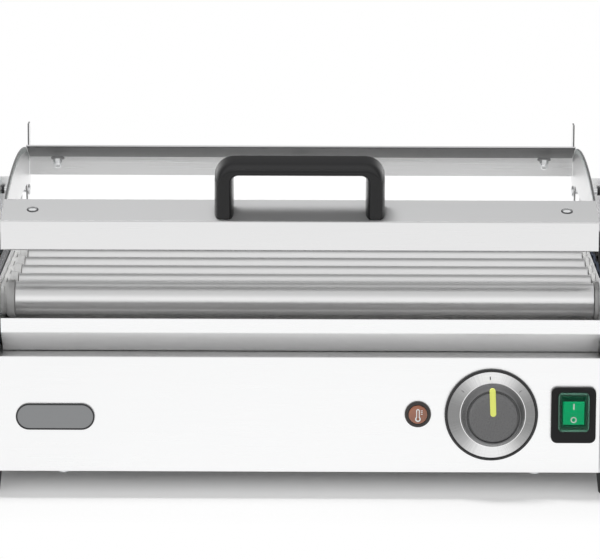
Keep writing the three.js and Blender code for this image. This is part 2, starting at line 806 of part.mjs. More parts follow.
// Bow handle, square to the front strip's slope
function handle() {
  const half = handleLength / 2 - handleBevel;
  const inner = handleLength / 2 - handleLeg + handleBevel;
  const top = handleHeight - handleBevel;
  const under = handleHeight - gripThickness + handleBevel;
  const base = handleBevel + gap;
  const outerRadius = handleOuterRadius - handleBevel;
  const innerRadius = handleInnerRadius + handleBevel;
  const shape = new THREE.Shape();
  shape.moveTo(-half, base);
  shape.lineTo(-inner, base);
  shape.absarc(-inner + innerRadius, under - innerRadius, innerRadius, Math.PI, Math.PI / 2, true);
  shape.absarc(inner - innerRadius, under - innerRadius, innerRadius, Math.PI / 2, 0, true);
  shape.lineTo(inner, base);
  shape.lineTo(half, base);
  shape.absarc(half - outerRadius, top - outerRadius, outerRadius, 0, Math.PI / 2, false);
  shape.absarc(-half + outerRadius, top - outerRadius, outerRadius, Math.PI / 2, Math.PI, false);
  const body = new THREE.ExtrudeGeometry(shape, {
    depth: handleDepth - 2 * handleBevel, curveSegments: 5, bevelSegments: 2,
    bevelThickness: handleBevel, bevelSize: handleBevel,
  });
  body.rotateX(Math.PI / 2).translate(0, handleDepth / 2 - handleBevel, 0);
  const drill = rod(handleScrewHoleRadius, -overrun, handleHeight / 3 + gap, 'z', smallSides);
  const drills = [-1, 1].map((side) => drill.clone().translate(side * handleScrewAt, 0, 0));
  return onFrontSlope(cut(body, drills), 0, handleSeat);
}

// Hinge: a bracket on each housing, a pin through the cheek, and a black bush against the bracket
function bracketScrews() {
  const x = bracketWeb + bracketWidth / 2 + sheet / 2;
  const inset = (bracketBack - bracketFront) / 4;
  return [[x, bracketFront + inset], [x, bracketBack - inset]];
}

function bracket() {
  const base = housingTop + gap;
  const outer = bracketWeb + bracketWidth;
  const parts = [
    box(bracketWeb, outer, bracketFront, bracketBack, base, base + sheet),
    box(bracketWeb, bracketWeb + sheet, bracketFront, bracketBack, base, bracketTop),
    box(bracketWeb - bracketReach, outer, bracketBack - sheet, bracketBack, base, bracketTop),
  ];
  const pinHole = rod(hingePinRadius + gap, bracketWeb - overrun, bracketWeb + overrun, 'x', smallSides)
    .translate(0, hingeDepth, hingeHeight);
  const screwHoles = bracketScrews().map(([x, y]) => rod(screwHoleRadius, base - overrun, base + overrun,
    'z', smallSides).translate(x, y, 0));
  return cut(join(parts), [pinHole, ...screwHoles]);
}

function hingePin() {
  const head = lidHalf - sheet - gap;
  return turned([
    [0, head - hingeHeadHeight], [hingeHeadRadius, head - hingeHeadHeight], [hingeHeadRadius, head],
    [hingePinRadius, head], [hingePinRadius, bracketWeb + 2 * sheet], [0, bracketWeb + 2 * sheet],
  ], 'x', smallSides).translate(0, hingeDepth, hingeHeight);
}

function hingeBush() {
  const to = bracketWeb - gap;
  return ring(hingePinRadius + gap, hingeBushRadius, to - hingeBushLength, to, 'x', smallSides)
    .translate(0, hingeDepth, hingeHeight);
}

// Controls
function dialRing() {
  const back = -gap;
  const face = -dialThickness;
  const rim = face - dialRimHeight;
  return turned([
    [dialBore, back], [dialRadius, back], [dialRadius, face], [dialRadius - dialRimWidth / 2, rim],
    [dialRadius - dialRimWidth, face], [dialBore, face], [dialBore, back],
  ], 'y', largeSides).translate(dialCentre, 0, controlHeight);
}

const knobBack = -dialThickness - gap;
const knobFront = knobBack - knobDepth;

function pointerShape(grow) {
  const height = pointerTop + pointerBottom;
  const shape = roundedRectangle(pointerWidth + 2 * grow, height + 2 * grow, pointerWidth / 2 + grow);
  return { shape, rise: pointerTop - height / 2 };
}

function pointerBar(grow, from, to) {
  const { shape, rise } = pointerShape(grow);
  return alongY(shape, from, to).translate(0, 0, rise).rotateY(-pointerTurn)
    .translate(knobCentre, 0, controlHeight);
}

const pointerBed = knobFront + knobStep + pointerThickness;

function controlKnob() {
  const bore = spindleRadius + gap;
  const boreEnd = knobBack - knobDepth / 2;
  const profile = [
    [0, knobFront], [knobCapRadius - knobStep, knobFront], [knobCapRadius, knobFront + knobStep / 2],
    [knobCapRadius, knobFront + knobStep], [knobRadius - knobStep, knobFront + knobStep],
    [knobRadius - knobStep / 2, knobFront + 2 * knobStep], [knobRadius, knobBack],
    [bore, knobBack], [bore, boreEnd], [0, boreEnd],
  ];
  const body = turned(profile, 'y', largeSides).translate(knobCentre, 0, controlHeight);
  return cut(body, [pointerBar(gap, knobFront - overrun, pointerBed)]);
}

function spindle() {
  const front = knobBack - knobDepth / 2 + gap;
  const back = sheet + 2 * gap + thermostatDepth / 3 - gap;
  return rod(spindleRadius, front, back, 'y', smallSides).translate(knobCentre, 0, controlHeight);
}

function thermostat() {
  const half = thermostatSize / 2;
  const face = sheet + gap;
  const body = box(-half, half, face, face + thermostatDepth, -half, half);
  const neck = rod(spindleBush, -dialThickness + gap, face + sheet, 'y', mediumSides);
  const bore = rod(spindleRadius + gap, -overrun, sheet + 2 * gap + thermostatDepth / 3, 'y', smallSides);
  return cut(join([body, neck]), [bore]).translate(knobCentre, 0, controlHeight);
}

function lampBezel() {
  const bed = -lampProud + sheet;
  const well = lensRadius + gap;
  return turned([
    [0, bed], [well, bed], [well, -lampProud], [lampRadius - gap, -lampProud], [lampRadius, -lampProud / 2],
    [lampRadius, -gap], [lampTube, -gap], [lampTube, lampTubeLength], [0, lampTubeLength],
  ], 'y', mediumSides).translate(lampCentre, 0, controlHeight);
}

function lampLens() {
  const back = -lampProud + sheet - gap;
  const front = -lampProud - lensProud;
  return turned([
    [0, front], [lensRadius / 2, front + gap], [lensRadius, front + lensProud], [lensRadius, back],
    [0, back],
  ], 'y', mediumSides).translate(lampCentre, 0, controlHeight);
}

function switchFrame() {
  const bezel = alongY(roundedRectangle(switchWidth, switchHeight, switchCorner), -switchProud, -gap);
  const body = box(-switchBodyWidth / 2, switchBodyWidth / 2, -sheet, switchBodyDepth,
    -switchBodyHeight / 2, switchBodyHeight / 2);
  const window = box(-windowWidth / 2, windowWidth / 2, -switchProud - overrun, windowDepth,
    switchRise - windowHeight / 2, switchRise + windowHeight / 2);
  return cut(join([bezel, body]), [window]).translate(switchCentre, 0, controlHeight);
}

// The rocker stands with its lower end pressed in
function rocker() {
  const half = rockerHeight / 2;
  const back = rockerPivot + rockerDish;
  const outline = [
    [-rockerProud, half], [-rockerProud + rockerDish, 0], [-rockerProud, -half],
    [back, -half * rockerTaperShare], [back, half * rockerTaperShare],
  ].map(([y, z]) => [y - rockerPivot, z]);
  const pivotHalf = windowWidth / 2 - gap;
  const button = join([
    alongX(outline, -rockerWidth / 2, rockerWidth / 2),
    rod(rockerPivotRadius, -pivotHalf, pivotHalf, 'x', smallSides),
  ]);
  return button.rotateX(rockerTilt).translate(switchCentre, rockerPivot, controlHeight + switchRise);
}

function switchBoot() {
  const face = -switchProud - gap;
  const outer = alongY(roundedRectangle(bootWidth, bootHeight, switchCorner), face - bootProud, face);
  const inner = alongY(roundedRectangle(bootWidth - 2 * bootWall, bootHeight - 2 * bootWall,
    switchCorner - bootWall), face - bootProud + bootWall, face + overrun);
  return cut(outer, [inner]).translate(switchCentre, 0, controlHeight + switchRise);
}

function badge() {
  const front = -gap - badgeThickness;
  const pill = alongY(roundedRectangle(badgeLength, badgeHeight, badgeHeight / 2), front, -gap);
  const [length, height] = [badgeLength - 2 * badgeRim, badgeHeight - 2 * badgeRim];
  const face = alongY(roundedRectangle(length, height, height / 2), front - overrun, front + badgeRecess);
  return cut(pill, [face]).translate(-badgeCentre, 0, badgeHeightAt);
}

function pair(name, geometry, look) {
  add(`right_${name}`, geometry, ...look);
  add(`left_${name}`, mirrored(geometry), ...look);
}

add('base_pan', basePan(), ...steel);
add('front_panel', frontPanel(), ...steel);
add('rear_panel', rearPanel(), ...steel);
add('heat_shield', heatShield(), ...steel);
pair('side_housing', housing(), steel);
footPlaces().forEach(([place, x, y]) => add(`foot_${place}`, foot().translate(x, y, 0), ...blackPlastic));
add('right_bearing_plate', bearingPlate(false), ...steel);
add('left_bearing_plate', mirrored(bearingPlate(true)), ...steel);
const bushPlastic = [0xe4e2da, 0.6, 0];
add('left_bush_strip', mirrored(bushStrip(rollerLeftEnd, bushShoulderLength)), ...bushPlastic);
add('right_bush_strip', bushStrip(rollerRightEnd, 0), ...bushPlastic);
rollerDepths.forEach((y, i) => {
  add(`roller_${i + 1}`, roller(y), ...brightSteel);
  const wheel = sprocket(journalRadius + gap).translate(0, y, rollerAxisHeight);
  add(`roller_sprocket_${i + 1}`, wheel, 0x4a4a4c, 0.5, 1);
});
add('gear_motor', gearMotor(), 0x8a8c8e, 0.5, 1);
add('motor_sprocket', motorSprocket(), 0x4a4a4c, 0.5, 1);
add('drive_chain', driveChain(), 0x38383a, 0.5, 1);
add('heating_elements', elements(), 0x6e6a66, 0.6, 1);
add('live_wire', wire(1), 0x2a2a2c, 0.6, 0);
add('neutral_wire', wire(-1), 0x2c3a5c, 0.6, 0);
add('terminal_block', terminalBlock(), 0xe8e6e0, 0.6, 0);
add('cable_gland', cableGland(), ...blackPlastic);
add('drip_tray', dripTray(), ...steel);
add('lid_front_strip', frontStrip(), ...steel);
add('lid_rear_strip', rearStrip(), ...steel);
add('lid_glass', lidGlass(), 0xe6efec, 0.05, 0);
pair('lid_cheek', cheek(), steel);
add('lid_handle', handle(), 0x252527, 0.45, 0);
pair('hinge_bracket', bracket(), steel);
pair('hinge_pin', hingePin(), brightSteel);
pair('hinge_bush', hingeBush(), blackPlastic);
add('dial_ring', dialRing(), 0xb8babc, 0.3, 1);
add('control_knob', controlKnob(), 0x4a4b4d, 0.45, 0);
add('knob_pointer', pointerBar(0, knobFront - pointerProud, pointerBed - gap), 0xd6e03a, 0.4, 0);
add('control_spindle', spindle(), ...brightSteel);
add('thermostat', thermostat(), 0x9a9ca0, 0.5, 1);
add('pilot_lamp_bezel', lampBezel(), 0x2c2624, 0.3, 0);
add('pilot_lamp_lens', lampLens(), 0xa8501c, 0.15, 0);
add('switch_frame', switchFrame(), ...blackPlastic);
add('switch_rocker', rocker(), 0x129a58, 0.3, 0);
add('switch_boot', switchBoot(), 0xd8ede2, 0.1, 0);
add('badge', badge(), 0x8c8e90, 0.4, 1);

// Centre the grill on X and Y, with the feet on zero
const reach = new THREE.Box3().setFromObject(grill);
const middle = reach.getCenter(new THREE.Vector3());
grill.position.set(-middle.x, -middle.y, -reach.min.z);
grill.updateMatrixWorld(true);

export default grill;
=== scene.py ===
import math

import bmesh
import bpy
from mathutils import Matrix, Vector


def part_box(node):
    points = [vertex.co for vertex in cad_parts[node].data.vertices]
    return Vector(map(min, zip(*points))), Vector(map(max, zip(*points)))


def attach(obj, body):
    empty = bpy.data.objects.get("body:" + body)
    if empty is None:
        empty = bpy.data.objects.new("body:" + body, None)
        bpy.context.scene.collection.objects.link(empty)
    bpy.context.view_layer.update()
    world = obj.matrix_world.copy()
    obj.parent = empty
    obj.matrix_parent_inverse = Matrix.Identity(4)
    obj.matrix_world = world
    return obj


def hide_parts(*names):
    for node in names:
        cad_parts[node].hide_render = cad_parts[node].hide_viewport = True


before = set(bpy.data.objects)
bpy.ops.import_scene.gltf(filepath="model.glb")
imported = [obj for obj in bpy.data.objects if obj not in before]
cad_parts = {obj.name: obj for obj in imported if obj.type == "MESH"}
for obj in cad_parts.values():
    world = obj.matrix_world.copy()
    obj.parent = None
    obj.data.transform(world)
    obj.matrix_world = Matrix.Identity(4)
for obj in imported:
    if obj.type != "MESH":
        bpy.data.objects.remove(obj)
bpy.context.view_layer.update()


# Studio: a room of soft white and grey bands all round, for the metal to mirror. It is bright for the
# mirrored and the camera's rays, and faint for the light that it casts on matt surfaces.
class Wire:
    """An output socket in a material. Arithmetic adds Math nodes, and node() adds any other node."""

    def __init__(self, tree, socket=None):
        self.tree = tree
        self.socket = socket

    def node(self, kind, settings=None, inputs=None, output=0):
        """Add a node: its settings first, then the values or wires of its sockets."""
        made = self.tree.nodes.new(kind)
        for name, value in (settings or {}).items():
            if name == "stops":
                points = made.color_ramp.elements
                while len(points) < len(value):
                    points.new(1)
                for point, (place, level) in zip(points, value):
                    point.position = place
                    point.color = (level, level, level, 1)
            else:
                setattr(made, name, value)
        for name, value in (inputs or {}).items():
            if isinstance(value, Wire):
                self.tree.links.new(value.socket, made.inputs[name])
            else:
                made.inputs[name].default_value = value
        return Wire(self.tree, made.outputs[output])

    def part(self, output):
        """Another output of the node that this one comes from."""
        return Wire(self.tree, self.socket.node.outputs[output])

    def ramp(self, stops):
        """A value that follows stops of (place, level) along this one."""
        return self.node("ShaderNodeValToRGB", {"stops": stops}, {"Fac": self})

    def maths(self, operation, first, second):
        return self.node("ShaderNodeMath", {"operation": operation}, {0: first, 1: second})

    def vectors(self, operation, first, second=(0, 0, 0), output=0):
        return self.node("ShaderNodeVectorMath", {"operation": operation}, {0: first, 1: second}, output)

    def __add__(self, other):
        return self.maths("ADD", self, other)

    def __radd__(self, other):
        return self.maths("ADD", other, self)

    def __sub__(self, other):
        return self.maths("SUBTRACT", self, other)

    def __rsub__(self, other):
        return self.maths("SUBTRACT", other, self)

    def __mul__(self, other):
        return self.maths("MULTIPLY", self, other)

    def __rmul__(self, other):
        return self.maths("MULTIPLY", other, self)


# Each band is (direction, level). Directions run from the horizon behind, over the top, to the front.
ROOM_BANDS = [(0, 1), (0.08, 1), (0.2, 0.6), (0.3, 0.6), (0.42, 0.86), (0.62, 0.84), (0.72, 0.22),
              (0.82, 0.22), (0.92, 0.75), (1, 0.95)]
MATT_LOSS = 0.85
room = bpy.data.worlds.new("room")
room.use_nodes = True
bpy.context.scene.world = room
sky = room.node_tree.nodes["Background"]
wire = Wire(room.node_tree)
across = wire.node("ShaderNodeSeparateXYZ", None, {0: wire.node("ShaderNodeTexCoord")})
around = wire.maths("ARCTAN2", across.part("Z"), across.part("Y") * -1.0)
wire.tree.links.new((around * (1 / math.pi)).ramp(ROOM_BANDS).socket, sky.inputs["Color"])
matt_share = wire.node("ShaderNodeLightPath", output="Is Diffuse Ray")
wire.tree.links.new((1.0 - matt_share * MATT_LOSS).socket, sky.inputs["Strength"])


# Floor: one white sheet of studio paper that fills the picture and keeps the object's shadow. For the camera
# and for what the metal and the glass mirror, plain white is mixed into its light grey paint by the distance
# past a box round the grill's middle, from under the case's front on: painted light that thins the shadow's
# outer part, and plain white further out.
FLOOR_HALF = 9
SHADOW_HALF = (0.22, 0.08, 0)
WHITE_FADE = [(0, 0), (0.012, 0.04), (0.037, 0.2), (0.0625, 0.42), (0.08, 0.46), (0.16, 1)]
floor_mesh = bpy.data.meshes.new("studio_floor")
floor_mesh.from_pydata([(-FLOOR_HALF, -FLOOR_HALF, 0), (FLOOR_HALF, -FLOOR_HALF, 0),
                        (FLOOR_HALF, FLOOR_HALF, 0), (-FLOOR_HALF, FLOOR_HALF, 0)], [], [(0, 1, 2, 3)])
floor = bpy.data.objects.new("studio_floor", floor_mesh)
bpy.context.collection.objects.link(floor)
floor_paint = bpy.data.materials.new("floor_paint")
floor_paint.use_nodes = True
floor_mesh.materials.append(floor_paint)
wire = Wire(floor_paint.node_tree)
paint = floor_paint.node_tree.nodes["Principled BSDF"]
paint.inputs["Base Color"].default_value = (0.82, 0.82, 0.82, 1)
paint.inputs["Roughness"].default_value = 0.95
paint.inputs["Specular IOR Level"].default_value = 0
spot = wire.vectors("ABSOLUTE", wire.node("ShaderNodeTexCoord", output=3))
past = wire.vectors("MAXIMUM", wire.vectors("SUBTRACT", spot, SHADOW_HALF))
white_share = wire.vectors("LENGTH", past, output=1).ramp(WHITE_FADE)
path = wire.node("ShaderNodeLightPath")
seen = path.part("Is Camera Ray") + path.part("Is Glossy Ray") + path.part("Is Transmission Ray")
white = wire.node("ShaderNodeEmission", None, {"Color": (1, 1, 1, 1), "Strength": 1.0})
both = wire.node("ShaderNodeMixShader", None, {0: white_share * wire.maths("MINIMUM", seen, 1.0),
                                               1: Wire(wire.tree, paint.outputs[0]), 2: white})
wire.tree.links.new(both.socket, wire.tree.nodes["Material Output"].inputs["Surface"])


# Lamps: two soft boxes, one overhead to the left and one low in front. They light paint, plastic and the
# floor, and aren't mirrored in the metal.
LAMP_AIM = (0, 0, 0.1)


def softbox(name, place, width, height, power):
    light = bpy.data.lights.new(name, "AREA")
    light.shape = "RECTANGLE"
    light.size = width
    light.size_y = height
    light.energy = power
    lamp = bpy.data.objects.new(name, light)
    bpy.context.collection.objects.link(lamp)
    lamp.location = place
    lamp.rotation_euler = (Vector(LAMP_AIM) - Vector(place)).to_track_quat("-Z", "Y").to_euler()
    lamp.visible_glossy = False


softbox("top_lamp", (-0.22, -0.28, 1.88), 0.8, 0.5, 31)
softbox("front_lamp", (-0.3, -2.5, 0.6), 2.2, 1.0, 17)


# Camera: a long lens on a stand in front and a little above, a hair right of the middle. Its three turns,
# in degrees, are a slight one to the left, the look downwards and a slight roll.
# The camera and the pieces are placed in the CAD's millimetres, with Y zero at the front panel's face.
MM = 0.001
PANEL_FACE = Vector((0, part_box("front_panel")[0][1] / MM, 0))
PHOTO_WIDTH = 600
FOCAL_PIXELS = 4013
SENSOR = 36
CAMERA_PLACE = Vector((9.5, -2933, 717))
CAMERA_TURNS = ((0.1766, "Z"), (79.4, "X"), (0.16, "Z"))
camera = bpy.data.objects.new("camera", bpy.data.cameras.new("camera"))
bpy.context.collection.objects.link(camera)
camera.data.sensor_width = SENSOR
camera.data.lens = FOCAL_PIXELS * SENSOR / PHOTO_WIDTH
camera.location = (CAMERA_PLACE + PANEL_FACE) * MM
turned = [Matrix.Rotation(math.radians(turn), 3, axis) for turn, axis in CAMERA_TURNS]
camera.rotation_euler = (turned[0] @ turned[1] @ turned[2]).to_euler()
bpy.context.scene.camera = camera
bpy.context.scene.view_settings.view_transform = "Standard"


# Case: 1.2 mm stainless sheet, brushed sideways. The front panel, the rear panel and the deck under the
# rollers are folded strips, screwed between the two side housings over a flat base pan.
SHEET = 1.2
PANEL_HALF = 225
CASE_UNDERSIDE = 21.2
PANEL_TOP = 109.2
TOP_LEDGE = 26
CASE_DEPTH = 306
FLANGE = 14
REAR_PANEL_TOP = 145.2
REAR_LEDGE = 32
DECK_DEPTHS = (26.3, 272.5)
DECK_RISE = 50
PANEL_BEND = 0.7
DECK_BEND = 3
CONTROL_HEIGHT = 66
SWITCH_X = 205.2
SWITCH_WINDOW = (13.3, 16.3)
SIDES = ((-1, "left"), (1, "right"))
# Outlines are drawn as (u, v) points and pushed along an axis: sideways as (depth, height), deep as
# (sideways, height), and upright as (sideways, depth).
SIDEWAYS = Matrix(((0, 0, 1), (1, 0, 0), (0, 1, 0))).to_4x4()
DEEP = Matrix(((1, 0, 0), (0, 0, 1), (0, 1, 0))).to_4x4()
UPRIGHT = Matrix.Identity(4)
SHARP = math.radians(32)


def at(x, y, z, way=UPRIGHT, tilt=0.0):
    """Where a drawn form goes: its axis, then a turn about X, then its place."""
    return Matrix.Translation((x, y, z)) @ Matrix.Rotation(tilt, 4, "X") @ way


def corners_at(shape, outline, along, place):
    return [shape.verts.new(place @ Vector((u, v, along))) for u, v in outline]


def join_rows(shape, rows):
    """Join each row of corners to the next, point by point."""
    for low, high in zip(rows, rows[1:]):
        for k in range(len(low)):
            shape.faces.new((low[k - 1], low[k], high[k], high[k - 1]))


def close_rows(shape, rows):
    join_rows(shape, rows)
    shape.faces.new(rows[0])
    shape.faces.new(rows[-1])


def push(shape, outline, start, end, place):
    """Push a closed outline of (u, v) points from start to end."""
    close_rows(shape, [corners_at(shape, outline, along, place) for along in (start, end)])


def rounded(points, radius, steps=5, loop=True):
    """The outline with its corners rounded. The radius is one number, or one for each corner."""
    radii = radius if isinstance(radius, (list, tuple)) else [radius] * len(points)
    made = []
    for i, point in enumerate(points):
        here = Vector(point)
        if not radii[i] or not loop and i in (0, len(points) - 1):
            made.append(tuple(here))
            continue
        before = (Vector(points[i - 1]) - here).normalized()
        after = (Vector(points[(i + 1) % len(points)]) - here).normalized()
        half = before.angle(after) / 2
        middle = here + (before + after).normalized() * radii[i] / math.sin(half)
        from_turn = here + before * radii[i] / math.tan(half) - middle
        to_turn = here + after * radii[i] / math.tan(half) - middle
        sweep = from_turn.angle_signed(to_turn)
        for k in range(steps + 1):
            turn = -sweep * k / steps
            made.append((middle.x + from_turn.x * math.cos(turn) - from_turn.y * math.sin(turn),
                         middle.y + from_turn.x * math.sin(turn) + from_turn.y * math.cos(turn)))
    return made


def beside(path, distance):
    """The open path moved to its left by a distance."""
    moved = []
    for i, point in enumerate(path):
        into = Vector(path[i]) - Vector(path[i - 1]) if i else None
        out = Vector(path[i + 1]) - Vector(path[i]) if i < len(path) - 1 else None
        first = (into or out).normalized()
        second = (out or into).normalized()
        reach = distance / (1 + first.dot(second))
        moved.append((point[0] - (first.y + second.y) * reach, point[1] + (first.x + second.x) * reach))
    return moved


def fold(shape, path, thickness, left, right, bend=1.8):
    """Sheet steel folded along lines that run sideways. The path is its outer face, as (depth, height)."""
    face = rounded(path, bend, 4, loop=False)
    push(shape, face + beside(face, thickness)[::-1], left, right, SIDEWAYS)


def round_over(piece, width, segments=2):
    """Round the piece's sharp edges with a bevel."""
    bevel = piece.modifiers.new("edge", "BEVEL")
    bevel.width = width * MM
    bevel.segments = segments
    bevel.limit_method = "ANGLE"
    bevel.angle_limit = SHARP
    return bevel


def make(name, draw, edge=0.0, segments=2):
    """A new piece from a drawing function, its sharp edges rounded by edge."""
    shape = bmesh.new()
    draw(shape)
    for vertex in shape.verts:
        vertex.co = (vertex.co + PANEL_FACE) * MM
    bmesh.ops.recalc_face_normals(shape, faces=shape.faces)
    mesh = bpy.data.meshes.new(name)
    shape.to_mesh(mesh)
    shape.free()
    mesh.polygons.foreach_set("use_smooth", [True] * len(mesh.polygons))
    mesh.set_sharp_from_angle(angle=SHARP)
    piece = bpy.data.objects.new(name, mesh)
    bpy.context.collection.objects.link(piece)
    if edge:
        round_over(piece, edge, segments).harden_normals = True
    return piece


def fit(piece, body, finish, slot, *nodes):
    """Paint a piece, and let it ride on a body and stand for CAD nodes."""
    piece.data.materials.append(finish)
    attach(piece, body)
    if nodes:
        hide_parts(*nodes)


def coat_faces(piece, finish, chosen):
    """A second finish on the faces that chosen(normal, middle) picks. The middle is in millimetres."""
    piece.data.materials.append(finish)
    for face in piece.data.polygons:
        if chosen(face.normal, face.center / MM - PANEL_FACE):
            face.material_index = len(piece.data.materials) - 1


def coat_node(node, finish, edge=0.0):
    """A finish, and rounded edges, for a CAD node that keeps its own shape."""
    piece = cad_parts[node]
    piece.data.materials.clear()
    piece.data.materials.append(finish)
    if edge:
        piece.modifiers.new("weld", "WELD").merge_threshold = 1e-5
        round_over(piece, edge)


def new_finish(name, colour, roughness, metallic=0.0, **constants):
    """A material with plain values, a wire to start from, and its shader."""
    finish = bpy.data.materials.new(name)
    finish.use_nodes = True
    shader = finish.node_tree.nodes["Principled BSDF"]
    shader.inputs["Base Color"].default_value = (*colour, 1)
    shader.inputs["Roughness"].default_value = roughness
    shader.inputs["Metallic"].default_value = metallic
    for socket, value in constants.items():
        shader.inputs[socket.replace("_", " ")].default_value = value
    return finish, Wire(finish.node_tree), shader


def grain(wire, stretch, detail=2.0):
    """Noise over a piece, as so many wrinkles to a metre each way."""
    place = wire.node("ShaderNodeTexCoord", output=3)
    longer = wire.vectors("MULTIPLY", place, stretch)
    return wire.node("ShaderNodeTexNoise", None, {"Vector": longer, "Scale": 1.0, "Detail": detail})


def raise_grain(shader, height, depth):
    """A height wire becomes the surface's relief."""
    relief = height.node("ShaderNodeBump", None, {"Height": height, "Strength": 1.0, "Distance": depth})
    height.tree.links.new(relief.socket, shader.inputs["Normal"])


def vary(shader, socket, wire):
    wire.tree.links.new(wire.socket, shader.inputs[socket])


def brushed(name, colour, roughness, stretch=(14, 1500, 1500), depth=0.000004, metallic=1.0):
    """Steel with long fine scratches that break up what it mirrors."""
    finish, wire, shader = new_finish(name, colour, roughness, metallic)
    scratches = grain(wire, stretch)
    vary(shader, "Roughness", scratches * 0.16 + (roughness - 0.08))
    raise_grain(shader, scratches, depth)
    return finish


case_steel = brushed("case_steel", (0.975, 0.978, 0.98), 0.3)
shaded_steel = brushed("shaded_steel", (0.78, 0.78, 0.78), 0.35)
side_steel = brushed("side_steel", (0.86, 0.862, 0.865), 0.32)


def front_panel(shape):
    """The folded front, with the window cut for the switch's body."""
    profile = [(TOP_LEDGE, PANEL_TOP), (0, PANEL_TOP), (0, CASE_UNDERSIDE), (FLANGE, CASE_UNDERSIDE)]
    fold(shape, profile, SHEET, -PANEL_HALF, PANEL_HALF, PANEL_BEND)
    half_width, half_height = SWITCH_WINDOW
    for axis, middle, half in (((1, 0, 0), SWITCH_X, half_width), ((0, 0, 1), CONTROL_HEIGHT, half_height)):
        for place in (middle - half, middle + half):
            every = shape.verts[:] + shape.edges[:] + shape.faces[:]
            bmesh.ops.bisect_plane(shape, geom=every, plane_co=Vector(axis) * place, plane_no=axis)

    def in_window(face):
        middle = face.calc_center_median()
        return abs(middle.x - SWITCH_X) < half_width and abs(middle.z - CONTROL_HEIGHT) < half_height

    bmesh.ops.delete(shape, geom=[face for face in shape.faces if in_window(face)], context="FACES")


def rear_panel(shape):
    profile = [(CASE_DEPTH - FLANGE, CASE_UNDERSIDE), (CASE_DEPTH, CASE_UNDERSIDE),
               (CASE_DEPTH, REAR_PANEL_TOP), (CASE_DEPTH - REAR_LEDGE, REAR_PANEL_TOP)]
    fold(shape, profile, SHEET, -PANEL_HALF, PANEL_HALF)


def deck(shape):
    front, back = DECK_DEPTHS
    profile = [(front, PANEL_TOP), (back, PANEL_TOP), (back, PANEL_TOP + DECK_RISE)]
    fold(shape, profile, -SHEET, -PANEL_HALF, PANEL_HALF, DECK_BEND)


def on_deck(normal, middle):
    """The deck and the ledge before it look up, below the rear panel's ledge."""
    return normal.z > 0.7 and middle.z < (PANEL_TOP + REAR_PANEL_TOP) / 2


for name, draw in (("front_panel", front_panel), ("rear_panel", rear_panel), ("heat_shield", deck)):
    piece = make(name + "_sheet", draw, 0.25)
    fit(piece, "case", case_steel, "case_steel", name)
    coat_faces(piece, shaded_steel, on_deck)
coat_node("base_pan", case_steel, 0.4)
for sign, side in SIDES:
    coat_node(side + "_side_housing", side_steel, 0.5)
    coat_node(side + "_bearing_plate", case_steel, 0.2)


# Case screws: two bright steel pan heads, driven up through the front panel's lower flange into the
# base pan.
CASE_SCREW_X = 177
bright_steel = brushed("bright_steel", (0.86, 0.87, 0.88), 0.22, (300, 300, 300), 0.00002)


def arc(radius, start, sweep, steps, middle=(0, 0)):
    """Points on an arc round a middle, with both its ends."""
    turns = [start + sweep * k / steps for k in range(steps + 1)]
    return [(middle[0] + radius * math.cos(turn), middle[1] + radius * math.sin(turn)) for turn in turns]


def ring(radius, sides):
    """Points all round: a hexagon for 6 sides, a fair circle for many."""
    return arc(radius, 0, 2 * math.pi, sides)[:-1]


def spin(shape, profile, place, sides=64):
    """Turn a profile of (radius, along) points round the axis. It closes at radius zero."""
    rows = [corners_at(shape, ring(radius, sides) if radius else [(0, 0)], along, place)
            for radius, along in profile]
    for low, high in zip(rows, rows[1:]):
        for k in range(sides):
            corners = [low[k % len(low)], low[(k + 1) % len(low)],
                       high[(k + 1) % len(high)], high[k % len(high)]]
            corners = list(dict.fromkeys(corners))
            if len(corners) > 2:
                shape.faces.new(corners)


def pan_head(shape, place, radius, height=2.2):
    """A low round head with a recess for the driver."""
    spin(shape, [(0, 0), (radius, 0), (radius, height * 0.35), (radius * 0.86, height * 0.75),
                 (radius * 0.5, height), (radius * 0.42, height), (radius * 0.36, height * 0.5),
                 (0, height * 0.5)], place, 32)


def case_screws(shape):
    for x in (-CASE_SCREW_X, CASE_SCREW_X):
        pan_head(shape, at(x, FLANGE / 2, CASE_UNDERSIDE, UPRIGHT, math.pi), 4)


fit(make("case_screws", case_screws), "case", bright_steel, "case_steel")


# Feet: four tapered feet moulded from black rubber, each held by a screw in its hollow under a corner of
# the base.
FOOT_X = 240
FOOT_DEPTHS = (("front", 26), ("rear", 280))
FOOT_PROFILE = [(0, 2.5), (4, 2.5), (4.6, 0), (12.6, 0), (13.4, 0.8), (15.4, 17.6), (16, 18.6), (16, 20.2),
                (15.3, 20.9), (0, 20.9)]


def plain_paint(name, colour, roughness, wrinkles=900, depth=0.00002, **constants):
    """Moulded plastic or cast metal with a fine even grain."""
    finish, wire, shader = new_finish(name, colour, roughness, **constants)
    specks = grain(wire, (wrinkles, wrinkles, wrinkles))
    vary(shader, "Roughness", specks * 0.1 + (roughness - 0.05))
    raise_grain(shader, specks, depth)
    return finish


def turned(name, profile, place, sides=64, edge=0.0):
    return make(name, lambda shape: spin(shape, profile, place, sides), edge)


rubber = plain_paint("foot_rubber", (0.018, 0.018, 0.02), 0.6, 700, 0.00008)
for end, depth in FOOT_DEPTHS:
    for sign, side in SIDES:
        node = "foot_" + end + "_" + side
        foot = turned(node + "_rubber", FOOT_PROFILE, at(sign * FOOT_X, depth, 0))
        fit(foot, "case", rubber, "feet", node)


